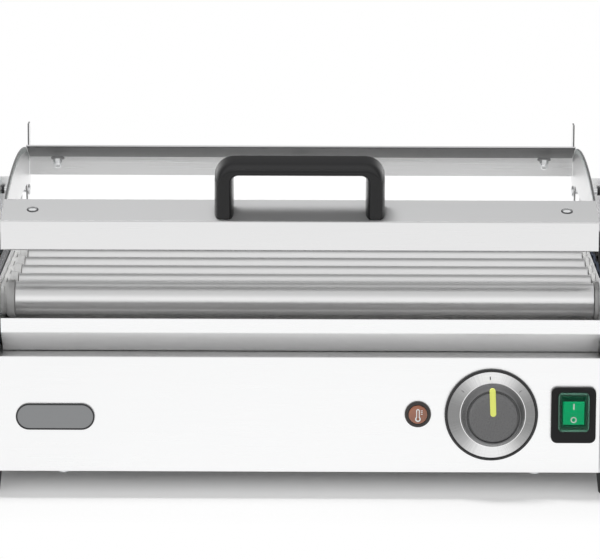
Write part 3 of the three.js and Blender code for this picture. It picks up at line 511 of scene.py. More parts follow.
# Bushes: seven flanged bushes of pale bearing plastic, moulded on one strip and clipped in the bearing
# plate at each end of the rollers.
ROLLER_DEPTHS = [44 + 35 * k for k in range(7)]
ROLLER_HEIGHT = 145
ROLLER_ENDS = (-214.1, 221.9)
ROW_MIDDLE = (ROLLER_DEPTHS[0] + ROLLER_DEPTHS[-1]) / 2
BUSH_BORE = 8.6
BUSH_RADIUS = 13.8
BUSH_NECK = 10.7
SHOULDER = (219.8, 220.4)
STRIP_SIZE = (238, 21.4, 6)
STRIP_FACES = (222.2, 225)
NECK_END = 226.4
bush_plastic = plain_paint("bush_plastic", (0.6, 0.6, 0.595), 0.5, 500)


def oblong(width, height, radius, steps=6, middle=(0, 0)):
    """A rectangle round a middle, with its corners rounded."""
    left, right = middle[0] - width / 2, middle[0] + width / 2
    low, high = middle[1] - height / 2, middle[1] + height / 2
    return rounded([(left, low), (right, low), (right, high), (left, high)], radius, steps)


def mirrored(sign):
    """Sideways, from the middle of the grill towards one side."""
    return Matrix.Scale(sign, 4, (1, 0, 0)) @ SIDEWAYS


def bush_strip(sign):
    """The strip on one side. On the left the bushes have a shoulder, since the rollers end earlier."""
    inner = abs(ROLLER_ENDS[sign > 0]) + 0.3
    profile = [(BUSH_BORE, inner), (12.9, inner), (13.6, inner + 0.4), (BUSH_RADIUS, inner + 1)]
    if sign < 0:
        profile += [(BUSH_RADIUS, SHOULDER[0]), (13.3, SHOULDER[1]), (12, SHOULDER[1])]
    profile += [(profile[-1][0], STRIP_FACES[1]), (BUSH_NECK, STRIP_FACES[1]), (BUSH_NECK, NECK_END),
                (BUSH_BORE, NECK_END), (BUSH_BORE, inner)]

    def draw(shape):
        band = oblong(*STRIP_SIZE, middle=(ROW_MIDDLE, ROLLER_HEIGHT))
        push(shape, band, sign * STRIP_FACES[0], sign * STRIP_FACES[1], SIDEWAYS)
        for depth in ROLLER_DEPTHS:
            spin(shape, profile, at(0, depth, ROLLER_HEIGHT, mirrored(sign)))
    return draw


for sign, side in SIDES:
    fit(make(side + "_bushes", bush_strip(sign)), "case", bush_plastic, "bushes", side + "_bush_strip")


# Rollers: seamless stainless tubes, polished lengthwise, with turned-down journals that run in the bushes
# at both ends.
ROLLER_RADIUS = 12.5
JOURNAL_RADIUS = 8
ROLLER_BORE = 4.8
JOURNAL_ENDS = (-230.8, 228.3)
roller_steel = brushed("roller_steel", (0.94, 0.94, 0.94), 0.36, (10, 1200, 1200), 0.0000008)


def half_roller(end, tip, edge):
    """The roller's profile from its bore to its middle, at one end."""
    inward = math.copysign(1, -end)
    return [(ROLLER_BORE, tip), (JOURNAL_RADIUS - 0.4, tip), (JOURNAL_RADIUS, tip + inward * edge),
            (JOURNAL_RADIUS, end), (ROLLER_RADIUS - 0.3, end), (ROLLER_RADIUS, end + inward * 0.3)]


ROLLER_PROFILE = half_roller(ROLLER_ENDS[0], JOURNAL_ENDS[0], 0.4)
ROLLER_PROFILE += half_roller(ROLLER_ENDS[1], JOURNAL_ENDS[1], 0.3)[::-1] + ROLLER_PROFILE[:1]
for number, depth in enumerate(ROLLER_DEPTHS, 1):
    body = "roller_" + str(number)
    roller = turned(body + "_tube", ROLLER_PROFILE, at(0, depth, ROLLER_HEIGHT, SIDEWAYS), 96)
    fit(roller, body, roller_steel, "rollers", body)


# Sprockets: blanked steel wheels of twelve teeth, dark with oil, pressed on every left-hand journal and on
# the gear motor's shaft.
TEETH = 12
TOOTH_STEPS = 10
TOOTH_MIDDLE = 11.75
TOOTH_RISE = 1.25
SPROCKET_FACES = (-230.5, -228.1)
MOTOR_PLACE = (ROW_MIDDLE, 78)
JOURNAL_HUB = [(8.2, -230.7), (9.6, -230.7), (9.6, -227.6), (8.2, -227.6), (8.2, -230.7)]
MOTOR_HUB = [(0, -230.8), (4, -230.8), (4, -231), (6.5, -231), (6.5, -227.2), (4, -227.2), (4, -212.8),
             (0, -212.8)]
oiled_steel = plain_paint("oiled_steel", (0.3, 0.3, 0.31), 0.35, 800, 0.00004, metallic=0.9)


def toothed_outline():
    outline = []
    for k in range(TEETH * TOOTH_STEPS):
        turn = 2 * math.pi * k / (TEETH * TOOTH_STEPS)
        swing = math.cos(TEETH * turn)
        radius = TOOTH_MIDDLE + TOOTH_RISE * math.copysign(abs(swing) ** 0.7, swing)
        outline.append((radius * math.cos(turn), radius * math.sin(turn)))
    return outline


def sprocket(name, depth, height, hub):
    def draw(shape):
        push(shape, toothed_outline(), *SPROCKET_FACES, at(0, depth, height, SIDEWAYS))
        spin(shape, hub, at(0, depth, height, SIDEWAYS), 48)
    return make(name, draw, 0.2)


for number, depth in enumerate(ROLLER_DEPTHS, 1):
    wheel = sprocket("sprocket_" + str(number), depth, ROLLER_HEIGHT, JOURNAL_HUB)
    fit(wheel, "roller_" + str(number), oiled_steel, "sprockets", "roller_sprocket_" + str(number))
wheel = sprocket("motor_sprocket_wheel", *MOTOR_PLACE, MOTOR_HUB)
fit(wheel, "motor_output", oiled_steel, "sprockets", "motor_sprocket")


# Gear motor: a die-cast gearbox with a drawn motor can, left bare, and bolted behind the left bearing plate
# with its shaft through it.
motor_casting = plain_paint("motor_casting", (0.3, 0.31, 0.32), 0.5, 500, 0.00008, metallic=0.8)
coat_node("gear_motor", motor_casting, 0.8)


# Chain: steel roller chain of waisted side plates, riveted in pairs, laid over the sprockets and down round
# the motor's wheel. It follows a triangle with round corners.
CHAIN_CORNERS = [(ROLLER_DEPTHS[0], ROLLER_HEIGHT), MOTOR_PLACE, (ROLLER_DEPTHS[-1], ROLLER_HEIGHT)]
CHAIN_RADIUS = 16.3
LINK = 7.0
PLATE_HALF = 2.7
PLATE_WAIST = 0.75
PLATE_OVERLAP = 2.4
PLATE_THICK = 0.7
PLATE_STEPS = 20
OUTER_PLATES = (-231.5, -227.9)
RIVET_PROFILE = [(0, -231.5), (0.9, -231.5), (0.9, -230), (1.9, -230), (1.9, -228.7), (0.9, -228.7),
                 (0.9, -227.1), (0, -227.1)]


def round_corner(corner, start, sweep):
    """A stretch's length, and its places for shares from 0 to 1."""
    def place(share):
        turn = start + sweep * share
        return corner + CHAIN_RADIUS * Vector((math.cos(turn), math.sin(turn)))
    return CHAIN_RADIUS * sweep, place


def straight(start, end):
    return (end - start).length, lambda share: start.lerp(end, share)


def chain_rivets():
    """Places round the loop, one for each rivet."""
    stretches = []
    for i, corner in enumerate(CHAIN_CORNERS):
        here = Vector(corner)
        before, after = Vector(CHAIN_CORNERS[i - 1]), Vector(CHAIN_CORNERS[(i + 1) % 3])
        start = math.atan2(*(here - before).yx) - math.pi / 2
        end = math.atan2(*(after - here).yx) - math.pi / 2
        shift = CHAIN_RADIUS * Vector((math.cos(end), math.sin(end)))
        stretches.append(round_corner(here, start, (end - start) % (2 * math.pi)))
        stretches.append(straight(here + shift, after + shift))
    length = sum(stretch for stretch, _ in stretches)
    count = 2 * round(length / LINK / 2)
    rivets = []
    for k in range(count):
        along = length * k / count
        for stretch, place in stretches:
            if along <= stretch:
                rivets.append(place(along / stretch))
                break
            along -= stretch
    return rivets


def side_plate(half):
    """A plate between two rivets, narrower in its middle."""
    outline = []
    for k in range(PLATE_STEPS):
        turn = 2 * math.pi * k / PLATE_STEPS
        width = PLATE_HALF - PLATE_WAIST * math.sin(turn) ** 2
        outline.append((half + (half + PLATE_OVERLAP) * math.cos(turn), width * math.sin(turn)))
    return outline


def chain(shape):
    rivets = chain_rivets()
    for i, here in enumerate(rivets):
        ahead = rivets[(i + 1) % len(rivets)] - here
        turn = Matrix.Rotation(math.atan2(ahead.y, ahead.x), 4, "X")
        link = Matrix.Translation((0, here.x, here.y)) @ turn @ SIDEWAYS
        inset = i % 2 * (PLATE_THICK + 0.05)
        for x in (OUTER_PLATES[0] + inset, OUTER_PLATES[1] - inset):
            push(shape, side_plate(ahead.length / 2), x, x + PLATE_THICK, link)
        spin(shape, RIVET_PROFILE, link, 12)


fit(make("chain_links", chain), "case", oiled_steel, "chain", "drive_chain")


# Heating elements: a sheathed rod through each roller, with ceramic feet at its ends, and terminals joined
# by a strip at the right. The ceramic terminal block stands on the base pan.
element_sheath = plain_paint("element_sheath", (0.16, 0.15, 0.14), 0.5, 600, 0.00004, metallic=0.6)
coat_node("heating_elements", element_sheath, 0.2)
coat_node("terminal_block", plain_paint("terminal_ceramic", (0.72, 0.7, 0.66), 0.4), 0.8)


# Power wires: two stranded wires in woven glass sleeves. They hop from terminal to terminal at the right,
# and go down behind the last roller to the terminal block.
WIRE_RADIUS = 1.2
WIRE_X = 232.6
WIRES_APART = 4
TERMINAL_TOP = 153
WIRE_HOP = 4
HALF_PITCH = (ROLLER_DEPTHS[1] - ROLLER_DEPTHS[0]) / 2
BLOCK_HEIGHT = 36
BLOCK_DEPTH = 287
BLOCK_ENTRIES = (211.8, 197.3)
live_sleeve = plain_paint("live_sleeve", (0.03, 0.028, 0.026), 0.7, 3000, 0.0001)
neutral_sleeve = plain_paint("neutral_sleeve", (0.05, 0.06, 0.085), 0.7, 3000, 0.0001)


def smooth_line(points, steps=6):
    """A line through the points, with so many steps between two."""
    line = [Vector(point) for point in points]
    smooth = []
    for i in range(len(line) - 1):
        before, here = line[max(i - 1, 0)], line[i]
        after, beyond = line[i + 1], line[min(i + 2, len(line) - 1)]
        for k in range(steps):
            t = k / steps
            smooth.append(0.5 * (2 * here + (after - before) * t
                                 + (2 * before - 5 * here + 4 * after - beyond) * t ** 2
                                 + (3 * here - before - 3 * after + beyond) * t ** 3))
    return smooth + [line[-1]]


def tube(shape, points, radius, sides=12):
    smooth = smooth_line(points)
    side = Vector((0, 0, 1)).cross(smooth[1] - smooth[0]).normalized()
    rows = []
    for i, point in enumerate(smooth):
        along = (smooth[min(i + 1, len(smooth) - 1)] - smooth[max(i - 1, 0)]).normalized()
        side = (side - along * side.dot(along)).normalized()
        other = along.cross(side)
        rows.append([shape.verts.new(point + side * u + other * v) for u, v in ring(radius, sides)])
    close_rows(shape, rows)


def sleeve(sign):
    """The outer wire's path for 1, the inner wire's for -1."""
    x = WIRE_X + sign * WIRES_APART / 2
    height = BLOCK_HEIGHT - sign * WIRES_APART

    def draw(shape):
        points = [(x, ROLLER_DEPTHS[0], TERMINAL_TOP)]
        for depth in ROLLER_DEPTHS[1:]:
            points += [(x, depth - HALF_PITCH, TERMINAL_TOP + WIRE_HOP), (x, depth, TERMINAL_TOP)]
        points += [(x, 283, 138.5), (x, BLOCK_DEPTH, 101.5), (x - 14.5, BLOCK_DEPTH, height + 14.5)]
        points += [(entry, BLOCK_DEPTH, height) for entry in BLOCK_ENTRIES]
        tube(shape, points, WIRE_RADIUS)
    return draw


fit(make("live_sleeved_wire", sleeve(1)), "case", live_sleeve, "live_wire", "live_wire")
fit(make("neutral_sleeved_wire", sleeve(-1)), "case", neutral_sleeve, "neutral_wire", "neutral_wire")


# Cable gland: black nylon, screwed through the rear panel where the supply cord would come in, with a
# flange on each side of the sheet, a hexagon and a dome nut.
GLAND_X = 175
GLAND_HEIGHT = 52
GLAND_HEX = 10.6
HEX_DEPTHS = (310, 316.4)
GLAND_BODY = [(4, 301.5), (11, 301.5), (11, 304.5), (8, 304.5), (8, 306.3), (11, 306.3), (11, 308.6),
              (9.6, 309.3), (9.6, 310), (4, 310), (4, 301.5)]
GLAND_DOME = [(4, 316.4), (9, 316.4), (8.6, 319.2), (7.4, 321), (5.4, 321.2), (4, 320.6), (4, 316.4)]
nylon = plain_paint("black_nylon", (0.02, 0.02, 0.022), 0.42, 900, 0.00003)


def gland(shape):
    place = at(GLAND_X, 0, GLAND_HEIGHT, DEEP)
    spin(shape, GLAND_BODY, place, 48)
    push(shape, rounded(ring(GLAND_HEX, 6), 1.2, 3), *HEX_DEPTHS, place)
    spin(shape, GLAND_DOME, place, 48)


fit(make("gland_nut", gland, 0.3), "case", nylon, "cable_gland", "cable_gland")


# Drip tray: one folded stainless sheet, with an upright rim in front and an undercut below it, and end
# walls welded in. It slides out to the front over the deck.
TRAY_LEFT = -222.6
TRAY_RIGHT = 224.7
TRAY_RIM = 138
TRAY_FLOOR = 109.5
UNDERCUT_TOP = 127.4
UNDERCUT_DEPTH = 21
TRAY_BACK = (268, 123.5)
tray_steel = brushed("tray_steel", (0.97, 0.973, 0.975), 0.28)
tray_inside_painted_shade = brushed("tray_inside_painted_shade", (0.72, 0.715, 0.71), 0.4)
tray_undercut = brushed("tray_undercut", (0.95, 0.95, 0.95), 0.5)


def drip_tray(shape):
    back, back_top = TRAY_BACK
    profile = [(0, TRAY_RIM), (0, UNDERCUT_TOP), (UNDERCUT_DEPTH, TRAY_FLOOR), (back, TRAY_FLOOR), TRAY_BACK]
    fold(shape, profile, SHEET, TRAY_LEFT, TRAY_RIGHT)
    rim, floor, wall_top = TRAY_RIM - 0.1, TRAY_FLOOR + 0.3, back_top - 0.1
    wall = rounded([(0.3, rim), (0.3, UNDERCUT_TOP + 0.1), (UNDERCUT_DEPTH + 0.2, floor),
                    (back - 0.3, floor), (back - 0.3, wall_top), (UNDERCUT_DEPTH, wall_top),
                    (2 * SHEET, rim)], [0.4, 1.5, 1.5, 1.5, 0.4, 6, 0.4], 4)
    push(shape, wall, TRAY_LEFT + SHEET, TRAY_LEFT - 0.01, SIDEWAYS)
    push(shape, wall, TRAY_RIGHT - SHEET, TRAY_RIGHT + 0.01, SIDEWAYS)


piece = make("drip_tray_sheet", drip_tray, 0.25)
fit(piece, "tray", tray_steel, "tray_steel", "drip_tray")
# The faces inside the tray get a darker copy of its steel: painted shade under the rollers.
coat_faces(piece, tray_inside_painted_shade, lambda normal, middle: normal.z > 0.3 and middle.z < TRAY_RIM - 3)
coat_faces(piece, tray_undercut, lambda normal, middle: normal.z < -0.3 and middle.y < UNDERCUT_DEPTH + 1)


# Lid strips: folded stainless sheet, brushed sideways, over the glass's front and rear edges. The glass and
# the cheeks' top edges follow their two slopes and arch over the rollers in between.
LID_HALF = 223.6
FRONT_FACE = 20
LID_BOTTOM = 185.9
FRONT_BEND = (FRONT_FACE, 208.4)
FRONT_TOP = (57, 218.6)
REAR_TOP = (274, 226.8)
REAR_BEND = (313, 212.2)
REAR_FLANGE_BOTTOM = 196.4
FRONT_RETURN = 2.4
ARCH_RISE = 10
LID_BEND = 1.4
FRONT_TILT = math.atan2(FRONT_TOP[1] - FRONT_BEND[1], FRONT_TOP[0] - FRONT_BEND[0])
REAR_TILT = math.atan2(REAR_BEND[1] - REAR_TOP[1], REAR_BEND[0] - REAR_TOP[0])
chord = Vector(REAR_TOP) - Vector(FRONT_TOP)
ARCH_RADIUS = ((chord.length / 2) ** 2 + ARCH_RISE ** 2) / (2 * ARCH_RISE)
upward = Vector((-chord.y, chord.x)).normalized()
ARCH_MIDDLE = (Vector(FRONT_TOP) + Vector(REAR_TOP)) / 2 + upward * (ARCH_RISE - ARCH_RADIUS)
GLASS_INSET = 1.5
# The strips have two copies of one steel, chosen by facing: a darker, mostly matt one on the faces that look
# up, and a lighter, mirror-bright one on the faces that stand up or look down. The difference between them
# is painted light and shade.
lid_steel = brushed("lid_steel", (0.54, 0.542, 0.545), 0.4, depth=0.000006, metallic=0.2)
upright_steel_painted_lighter = brushed("upright_steel_painted_lighter", (0.83, 0.83, 0.832), 0.3)


def lid_line(start, end, drop, steps):
    """The lid's side view, so far below the strips' outer faces: front slope, arch and rear slope."""
    between = [start + (end - start) * k / steps for k in range(1, steps)]
    points = []
    for depth in sorted([start, FRONT_TOP[0], *between, REAR_TOP[0], end]):
        if depth < FRONT_TOP[0]:
            height = FRONT_TOP[1] + (depth - FRONT_TOP[0]) * math.tan(FRONT_TILT)
        elif depth > REAR_TOP[0]:
            height = REAR_TOP[1] + (depth - REAR_TOP[0]) * math.tan(REAR_TILT)
        else:
            height = ARCH_MIDDLE.y + math.sqrt(ARCH_RADIUS ** 2 - (depth - ARCH_MIDDLE.x) ** 2)
        points.append((depth, height - drop))
    return points


def front_strip(shape):
    profile = [FRONT_TOP, FRONT_BEND, (FRONT_FACE, LID_BOTTOM), (FRONT_FACE + FRONT_RETURN, LID_BOTTOM)]
    fold(shape, profile, SHEET, -LID_HALF, LID_HALF, LID_BEND)


def rear_strip(shape):
    half = LID_HALF - GLASS_INSET
    fold(shape, [REAR_TOP, REAR_BEND, (REAR_BEND[0], REAR_FLANGE_BOTTOM)], -SHEET, -half, half, LID_BEND)


for name, draw in (("front", front_strip), ("rear", rear_strip)):
    piece = make(name + "_strip_sheet", draw, 0.25)
    fit(piece, "lid", lid_steel, "lid_steel", "lid_" + name + "_strip")
    coat_faces(piece, upright_steel_painted_lighter, lambda normal, middle: normal.z < 0.85)


# Glass: 4 mm toughened glass bent to the arc, clear, with ground edges of a pale grey-green. The lid's
# screws hold it under the two strips.
GLASS_DEPTHS = (23.5, 309.5)
GLASS_TOP = 1.8
GLASS_THICK = 4
glass, wire, shader = new_finish("clear_glass", (0.99, 1.0, 0.995), 0.02)
vary(shader, "Roughness", grain(wire, (7, 7, 7), 3) * 0.04)
shader.inputs["Alpha"].default_value = 0.04
edge_glass = plain_paint("ground_glass_edge", (0.62, 0.66, 0.65), 0.35, 900, 0.00003)


def glass_sheet(shape):
    top, bottom = [lid_line(*GLASS_DEPTHS, drop, 48) for drop in (GLASS_TOP, GLASS_TOP + GLASS_THICK)]
    half = LID_HALF - GLASS_INSET
    push(shape, top + bottom[::-1], -half, half, SIDEWAYS)


piece = make("curved_glass", glass_sheet, 0.4)
fit(piece, "lid", glass, "lid_glass", "lid_glass")
coat_faces(piece, edge_glass, lambda normal, middle: abs(normal.x) > 0.5)


# Cheeks: the lid's flat ends, cut from the same sheet and welded to the strips. Each has a rounded tail that
# the hinge pin passes through, and an upright ear behind it that stops the open lid.
HINGE_PLACE = (300, 186)
CHEEK_FRONT = 21.5
CHEEK_BOTTOM = 193.4
TAIL_FRONT = 282
TAIL_RADIUS = 9
EAR_FRONT = 314.4
EAR_BACK = 332
EAR_BOTTOM = 187
EAR_TOP = 238
cheek_steel = brushed("cheek_steel", (0.93, 0.93, 0.932), 0.35)
# The cheeks' edges are painted dark: painted shade for the shadowed gap where the cheeks meet the strips.
cut_edge_painted_shade = plain_paint("cut_edge_painted_shade", (0.2, 0.2, 0.202), 0.5, 900, 0.00002, metallic=0.6)


def cheek(sign):
    ear = [(EAR_BACK - 5, EAR_BOTTOM), (EAR_BACK, EAR_BOTTOM + 5), (EAR_BACK, EAR_TOP - 5),
           (EAR_BACK - 5, EAR_TOP), (EAR_FRONT, EAR_TOP)]
    outline = [(CHEEK_FRONT, CHEEK_BOTTOM), (TAIL_FRONT, CHEEK_BOTTOM)]
    outline += arc(TAIL_RADIUS, math.pi, math.pi, 16, HINGE_PLACE) + ear
    outline += lid_line(CHEEK_FRONT, EAR_FRONT, GLASS_TOP, 40)[::-1]
    return lambda shape: push(shape, outline, sign * (LID_HALF - SHEET), sign * LID_HALF, SIDEWAYS)


for sign, side in SIDES:
    piece = make(side + "_cheek", cheek(sign))
    fit(piece, "lid", cheek_steel, "lid_steel", side + "_lid_cheek")
    coat_faces(piece, cut_edge_painted_shade, lambda normal, middle: abs(normal.x) < 0.5)


# Rear seal: a thin dark grey strip, laid between the rear strip's slope and the glass, which darkens the
# band under the rear strip.
SEAL_DROPS = (1.38, 1.74)
seal_rubber = plain_paint("seal_rubber", (0.11, 0.11, 0.112), 0.7, 700, 0.00003)


def rear_seal(shape):
    top, bottom = [[place for place in lid_line(*GLASS_DEPTHS, drop, 48) if place[0] >= REAR_TOP[0] - 1]
                   for drop in SEAL_DROPS]
    push(shape, top + bottom[::-1], 2 - LID_HALF, LID_HALF - 2, SIDEWAYS)


fit(make("rear_glass_seal", rear_seal), "lid", seal_rubber, "lid_glass")


# Lid screws: low round heads on dark washers on the strips, held by dome nuts on rubber washers under the
# glass. The front strip has one at each end, and the rear strip three.
FRONT_SCREW_X = 200.6
REAR_SCREW_X = 197.6
FRONT_HEAD = [(0, 0.2), (3.5, 0.2), (3.4, 0.8), (2.8, 1.4), (1.6, 1.8), (0, 1.9)]
REAR_HEAD = [(0, 0.2), (3, 0.2), (3, 0.8), (2.6, 1.5), (1.6, 2), (1.3, 1.2), (0, 1.2)]
HEAD_WASHER = [(0, 0.02), (4.4, 0.02), (4.4, 0.4), (4.1, 0.6), (0, 0.6)]
GLASS_WASHER = [(0, -5.9), (5.4, -5.9), (5.4, -7), (0, -7)]
NUT_DOME = [(0, -10.3), (3.1, -10.3), (3.1, -12), (2.8, -13.2), (2, -14.2), (1, -14.7), (0, -14.8)]
NUT_DEPTHS = (-10.4, -7)
NUT_HEX = 3.6
washer_rubber = plain_paint("washer_rubber", (0.06, 0.06, 0.062), 0.6, 700, 0.00003)


def on_slope(bend, tilt, x, along, way=UPRIGHT):
    """A place on a strip's slope, so far behind its bend."""
    return at(x, bend[0] + along * math.cos(tilt), bend[1] + along * math.sin(tilt), way, tilt)


FRONT_SCREWS = [on_slope(FRONT_BEND, FRONT_TILT, x, 19.2) for x in (-FRONT_SCREW_X, FRONT_SCREW_X)]
REAR_SCREWS = [on_slope(REAR_BEND, REAR_TILT, x, -20.7) for x in (-REAR_SCREW_X, 0, REAR_SCREW_X)]


def lid_screws(shape):
    for head, places in ((FRONT_HEAD, FRONT_SCREWS), (REAR_HEAD, REAR_SCREWS)):
        for place in places:
            spin(shape, head, place, 40)


def lid_washers(shape):
    for washer in (HEAD_WASHER, GLASS_WASHER):
        for place in FRONT_SCREWS + REAR_SCREWS:
            spin(shape, washer, place, 40)


def dome_nuts(shape):
    for place in FRONT_SCREWS + REAR_SCREWS:
        push(shape, ring(NUT_HEX, 6), *NUT_DEPTHS, place)
        spin(shape, NUT_DOME, place, 32)


fit(make("lid_screw_heads", lid_screws), "lid", bright_steel, "lid_steel")
fit(make("lid_washer_rings", lid_washers), "lid", washer_rubber, "lid_steel")
fit(make("lid_dome_nuts", dome_nuts, 0.2), "lid", bright_steel, "lid_steel")


# Handle: a black bow moulded in one piece from phenolic plastic, with a long round front and soft corners.
# It is screwed on from under the glass and stands square to the front strip's slope.
HANDLE_ALONG = 15.5
HANDLE_HALF = 63.5
HANDLE_TOP = 42
HANDLE_UNDER = 33.5
HANDLE_LEG = 13.9
FRONT_ROUND = (12, 4.1)
BACK_ROUND = (2.5, 2)
HANDLE_FRONT = -1
HANDLE_BACK = 10.5
OUTER_CORNER = 15
INNER_CORNER = 4
handle_plastic = plain_paint("handle_plastic", (0.01, 0.01, 0.0105), 0.22, 1400, 0.00002,
                             Specular_IOR_Level=0.32)


def bow_outline(thin):
    """The bow seen from the front, thinner all round by so much. Its feet spread a little."""
    half, leg = HANDLE_HALF - thin, HANDLE_LEG - 2 * thin
    under, top = HANDLE_UNDER + thin, HANDLE_TOP - thin
    bow = [(-half - 0.4, 0.3), (-half + leg + 0.2, 0.3), (-half + leg, under), (half - leg, under),
           (half - leg - 0.2, 0.3), (half + 0.4, 0.3), (half, top), (-half, top)]
    inner, outer = INNER_CORNER + thin, OUTER_CORNER - thin
    return rounded(bow, [0, 0, inner, inner, 0, 0, outer, outer], 8)


def handle(shape):
    """Outlines from the front to the back, thinner towards both ends."""
    quarter = arc(1, 0, math.pi / 2, 12)
    steps = [(HANDLE_FRONT - FRONT_ROUND[0] * u, FRONT_ROUND[1] * (1 - v)) for u, v in quarter]
    steps += [(HANDLE_BACK + BACK_ROUND[0] * v, BACK_ROUND[1] * (1 - u)) for u, v in quarter]
    place = on_slope(FRONT_BEND, FRONT_TILT, 0, HANDLE_ALONG, DEEP)
    close_rows(shape, [corners_at(shape, bow_outline(thin), depth, place) for depth, thin in steps])


fit(make("handle_bow", handle), "lid", handle_plastic, "handle", "lid_handle")


# Hinges: a folded steel bracket screwed on each housing, a headed steel pin through it and the cheek, and a
# black nylon bush round the pin.
BRACKET_SCREW_X = 252.2
BRACKET_SCREW_DEPTHS = (287.7, 299.3)
BRACKET_TOP = 165.7
PIN_PROFILE = [(0, 220.5), (3.4, 220.5), (4.3, 221.1), (4.5, 222.1), (2.5, 222.1), (2.5, 246.4), (1.9, 247),
               (0, 247)]
PIN_BUSH = [(2.8, 241.9), (3.1, 241.9), (3.4, 242.2), (3.4, 244), (3.1, 244.3), (2.8, 244.3), (2.8, 241.9)]


def bracket_screws(shape):
    for x in (-BRACKET_SCREW_X, BRACKET_SCREW_X):
        for depth in BRACKET_SCREW_DEPTHS:
            pan_head(shape, at(x, depth, BRACKET_TOP), 3.8)


for sign, side in SIDES:
    axis = at(0, *HINGE_PLACE, mirrored(sign))
    coat_node(side + "_hinge_bracket", case_steel, 0.3)
    fit(turned(side + "_pin", PIN_PROFILE, axis, 32), "case", bright_steel, "pins", side + "_hinge_pin")
    fit(turned(side + "_pin_bush", PIN_BUSH, axis, 32), "case", nylon, "hinge_bushes", side + "_hinge_bush")
fit(make("bracket_screws", bracket_screws), "case", bright_steel, "brackets")


# Dial: a flat ring turned from aluminium with fine grooves round it, in a narrow rim of dark chrome, with a
# polished lip round the knob. It is glued to the panel, and its marks are printed on.
DIAL_X = 143.8
KNOB_X = 144.9
SEAT = -0.3
GROOVES = 20
GROOVE_DEPTH = 0.03
FACE_FRONT = -2.4
FACE_INNER = 25
FACE_WIDTH = 7.8
face = [(FACE_INNER + FACE_WIDTH * k / GROOVES, FACE_FRONT + GROOVE_DEPTH * (k % 2))
        for k in range(GROOVES + 1)]
FACE_PROFILE = [(7, -2.3), *face, (FACE_INNER + FACE_WIDTH, SEAT), (7, SEAT), (7, -2.3)]
RIM_PROFILE = [(32.7, SEAT), (32.7, -2.6), (33, -3.1), (33.5, -3.4), (34.2, -3.4), (34.8, -3.0), (35, -2.2),
               (35, SEAT), (32.7, SEAT)]
LIP_PROFILE = [(23.8, -2.2), (23.8, -2.9), (24.2, -3.1), (24.7, -2.9), (24.7, -2.2), (23.8, -2.2)]
# Each mark is (turn in degrees, width).
MARKS = ((-2.2, 0.7), (-50, 0.35), (50, 0.35))
MARK_LENGTH = 2.6
MARK_RADIUS = 28
MARK_FACES = (-2.5, -2.2)
dial_aluminium_painted_sheen, wire, shader = new_finish("dial_aluminium_painted_sheen", (0.8, 0.8, 0.8), 0.3, 0.85)
# The base colour is lighter along one line across the dial and darker square to it, in streaks from the
# centre: a painted highlight standing in for how turned metal reflects the light. The rings of its grooves
# are its own.
centre = tuple((PANEL_FACE + Vector((DIAL_X, 0, CONTROL_HEIGHT))) * MM)
place = wire.vectors("SUBTRACT", wire.node("ShaderNodeTexCoord", output=3), centre)
sideways = wire.node("ShaderNodeSeparateXYZ", None, {0: place})
turn = wire.maths("ARCTAN2", sideways, sideways.part("Z"))
painted_highlight_fan = wire.maths("COSINE", turn * 2.0, 0.0) * 0.5 + 0.5
streaks = wire.node("ShaderNodeTexNoise", {"noise_dimensions": "1D"}, {"W": turn * 9.0, "Detail": 4.0})
reach = wire.vectors("LENGTH", place, output=1)
rings = wire.node("ShaderNodeTexNoise", {"noise_dimensions": "1D"}, {"W": reach * 800.0, "Detail": 3.0})
light = (painted_highlight_fan + (streaks - 0.5) * 0.5).ramp([(0.05, 0.3), (0.5, 0.52), (0.95, 1)])
grooved = rings.ramp([(0.35, 0.76), (0.65, 1)])
vary(shader, "Base Color", wire.node("ShaderNodeMix", {"data_type": "RGBA", "blend_type": "MULTIPLY"},
                                     {0: 1.0, 6: light, 7: grooved}, output=2))
raise_grain(shader, rings, 0.000004)
dark_chrome = plain_paint("dark_chrome", (0.045, 0.045, 0.046), 0.25, 900, 0.000004, metallic=0.7)
polished_lip = plain_paint("polished_lip", (0.96, 0.96, 0.96), 0.2, 900, 0.000002, metallic=1.0)


def on_controls(x, turn=0.0):
    """A place on the line of the controls, turned by degrees."""
    return Matrix.Translation((x, 0, CONTROL_HEIGHT)) @ Matrix.Rotation(math.radians(turn), 4, "Y") @ DEEP


def dial_marks(shape):
    for turn, width in MARKS:
        mark = oblong(width, MARK_LENGTH, width / 2.5, 3, (0, MARK_RADIUS))
        push(shape, mark, *MARK_FACES, on_controls(DIAL_X, turn))


dial_place = on_controls(DIAL_X)
knob_place = on_controls(KNOB_X)
fit(turned("dial_face", FACE_PROFILE, dial_place, 128), "case", dial_aluminium_painted_sheen, "dial", "dial_ring")
fit(turned("dial_rim_ring", RIM_PROFILE, dial_place, 128), "case", dark_chrome, "dial", "dial_ring")
fit(turned("dial_inner_lip", LIP_PROFILE, knob_place, 128), "case", polished_lip, "dial", "dial_ring")
fit(make("dial_mark_line", dial_marks), "case", dark_chrome, "dial", "dial_ring")


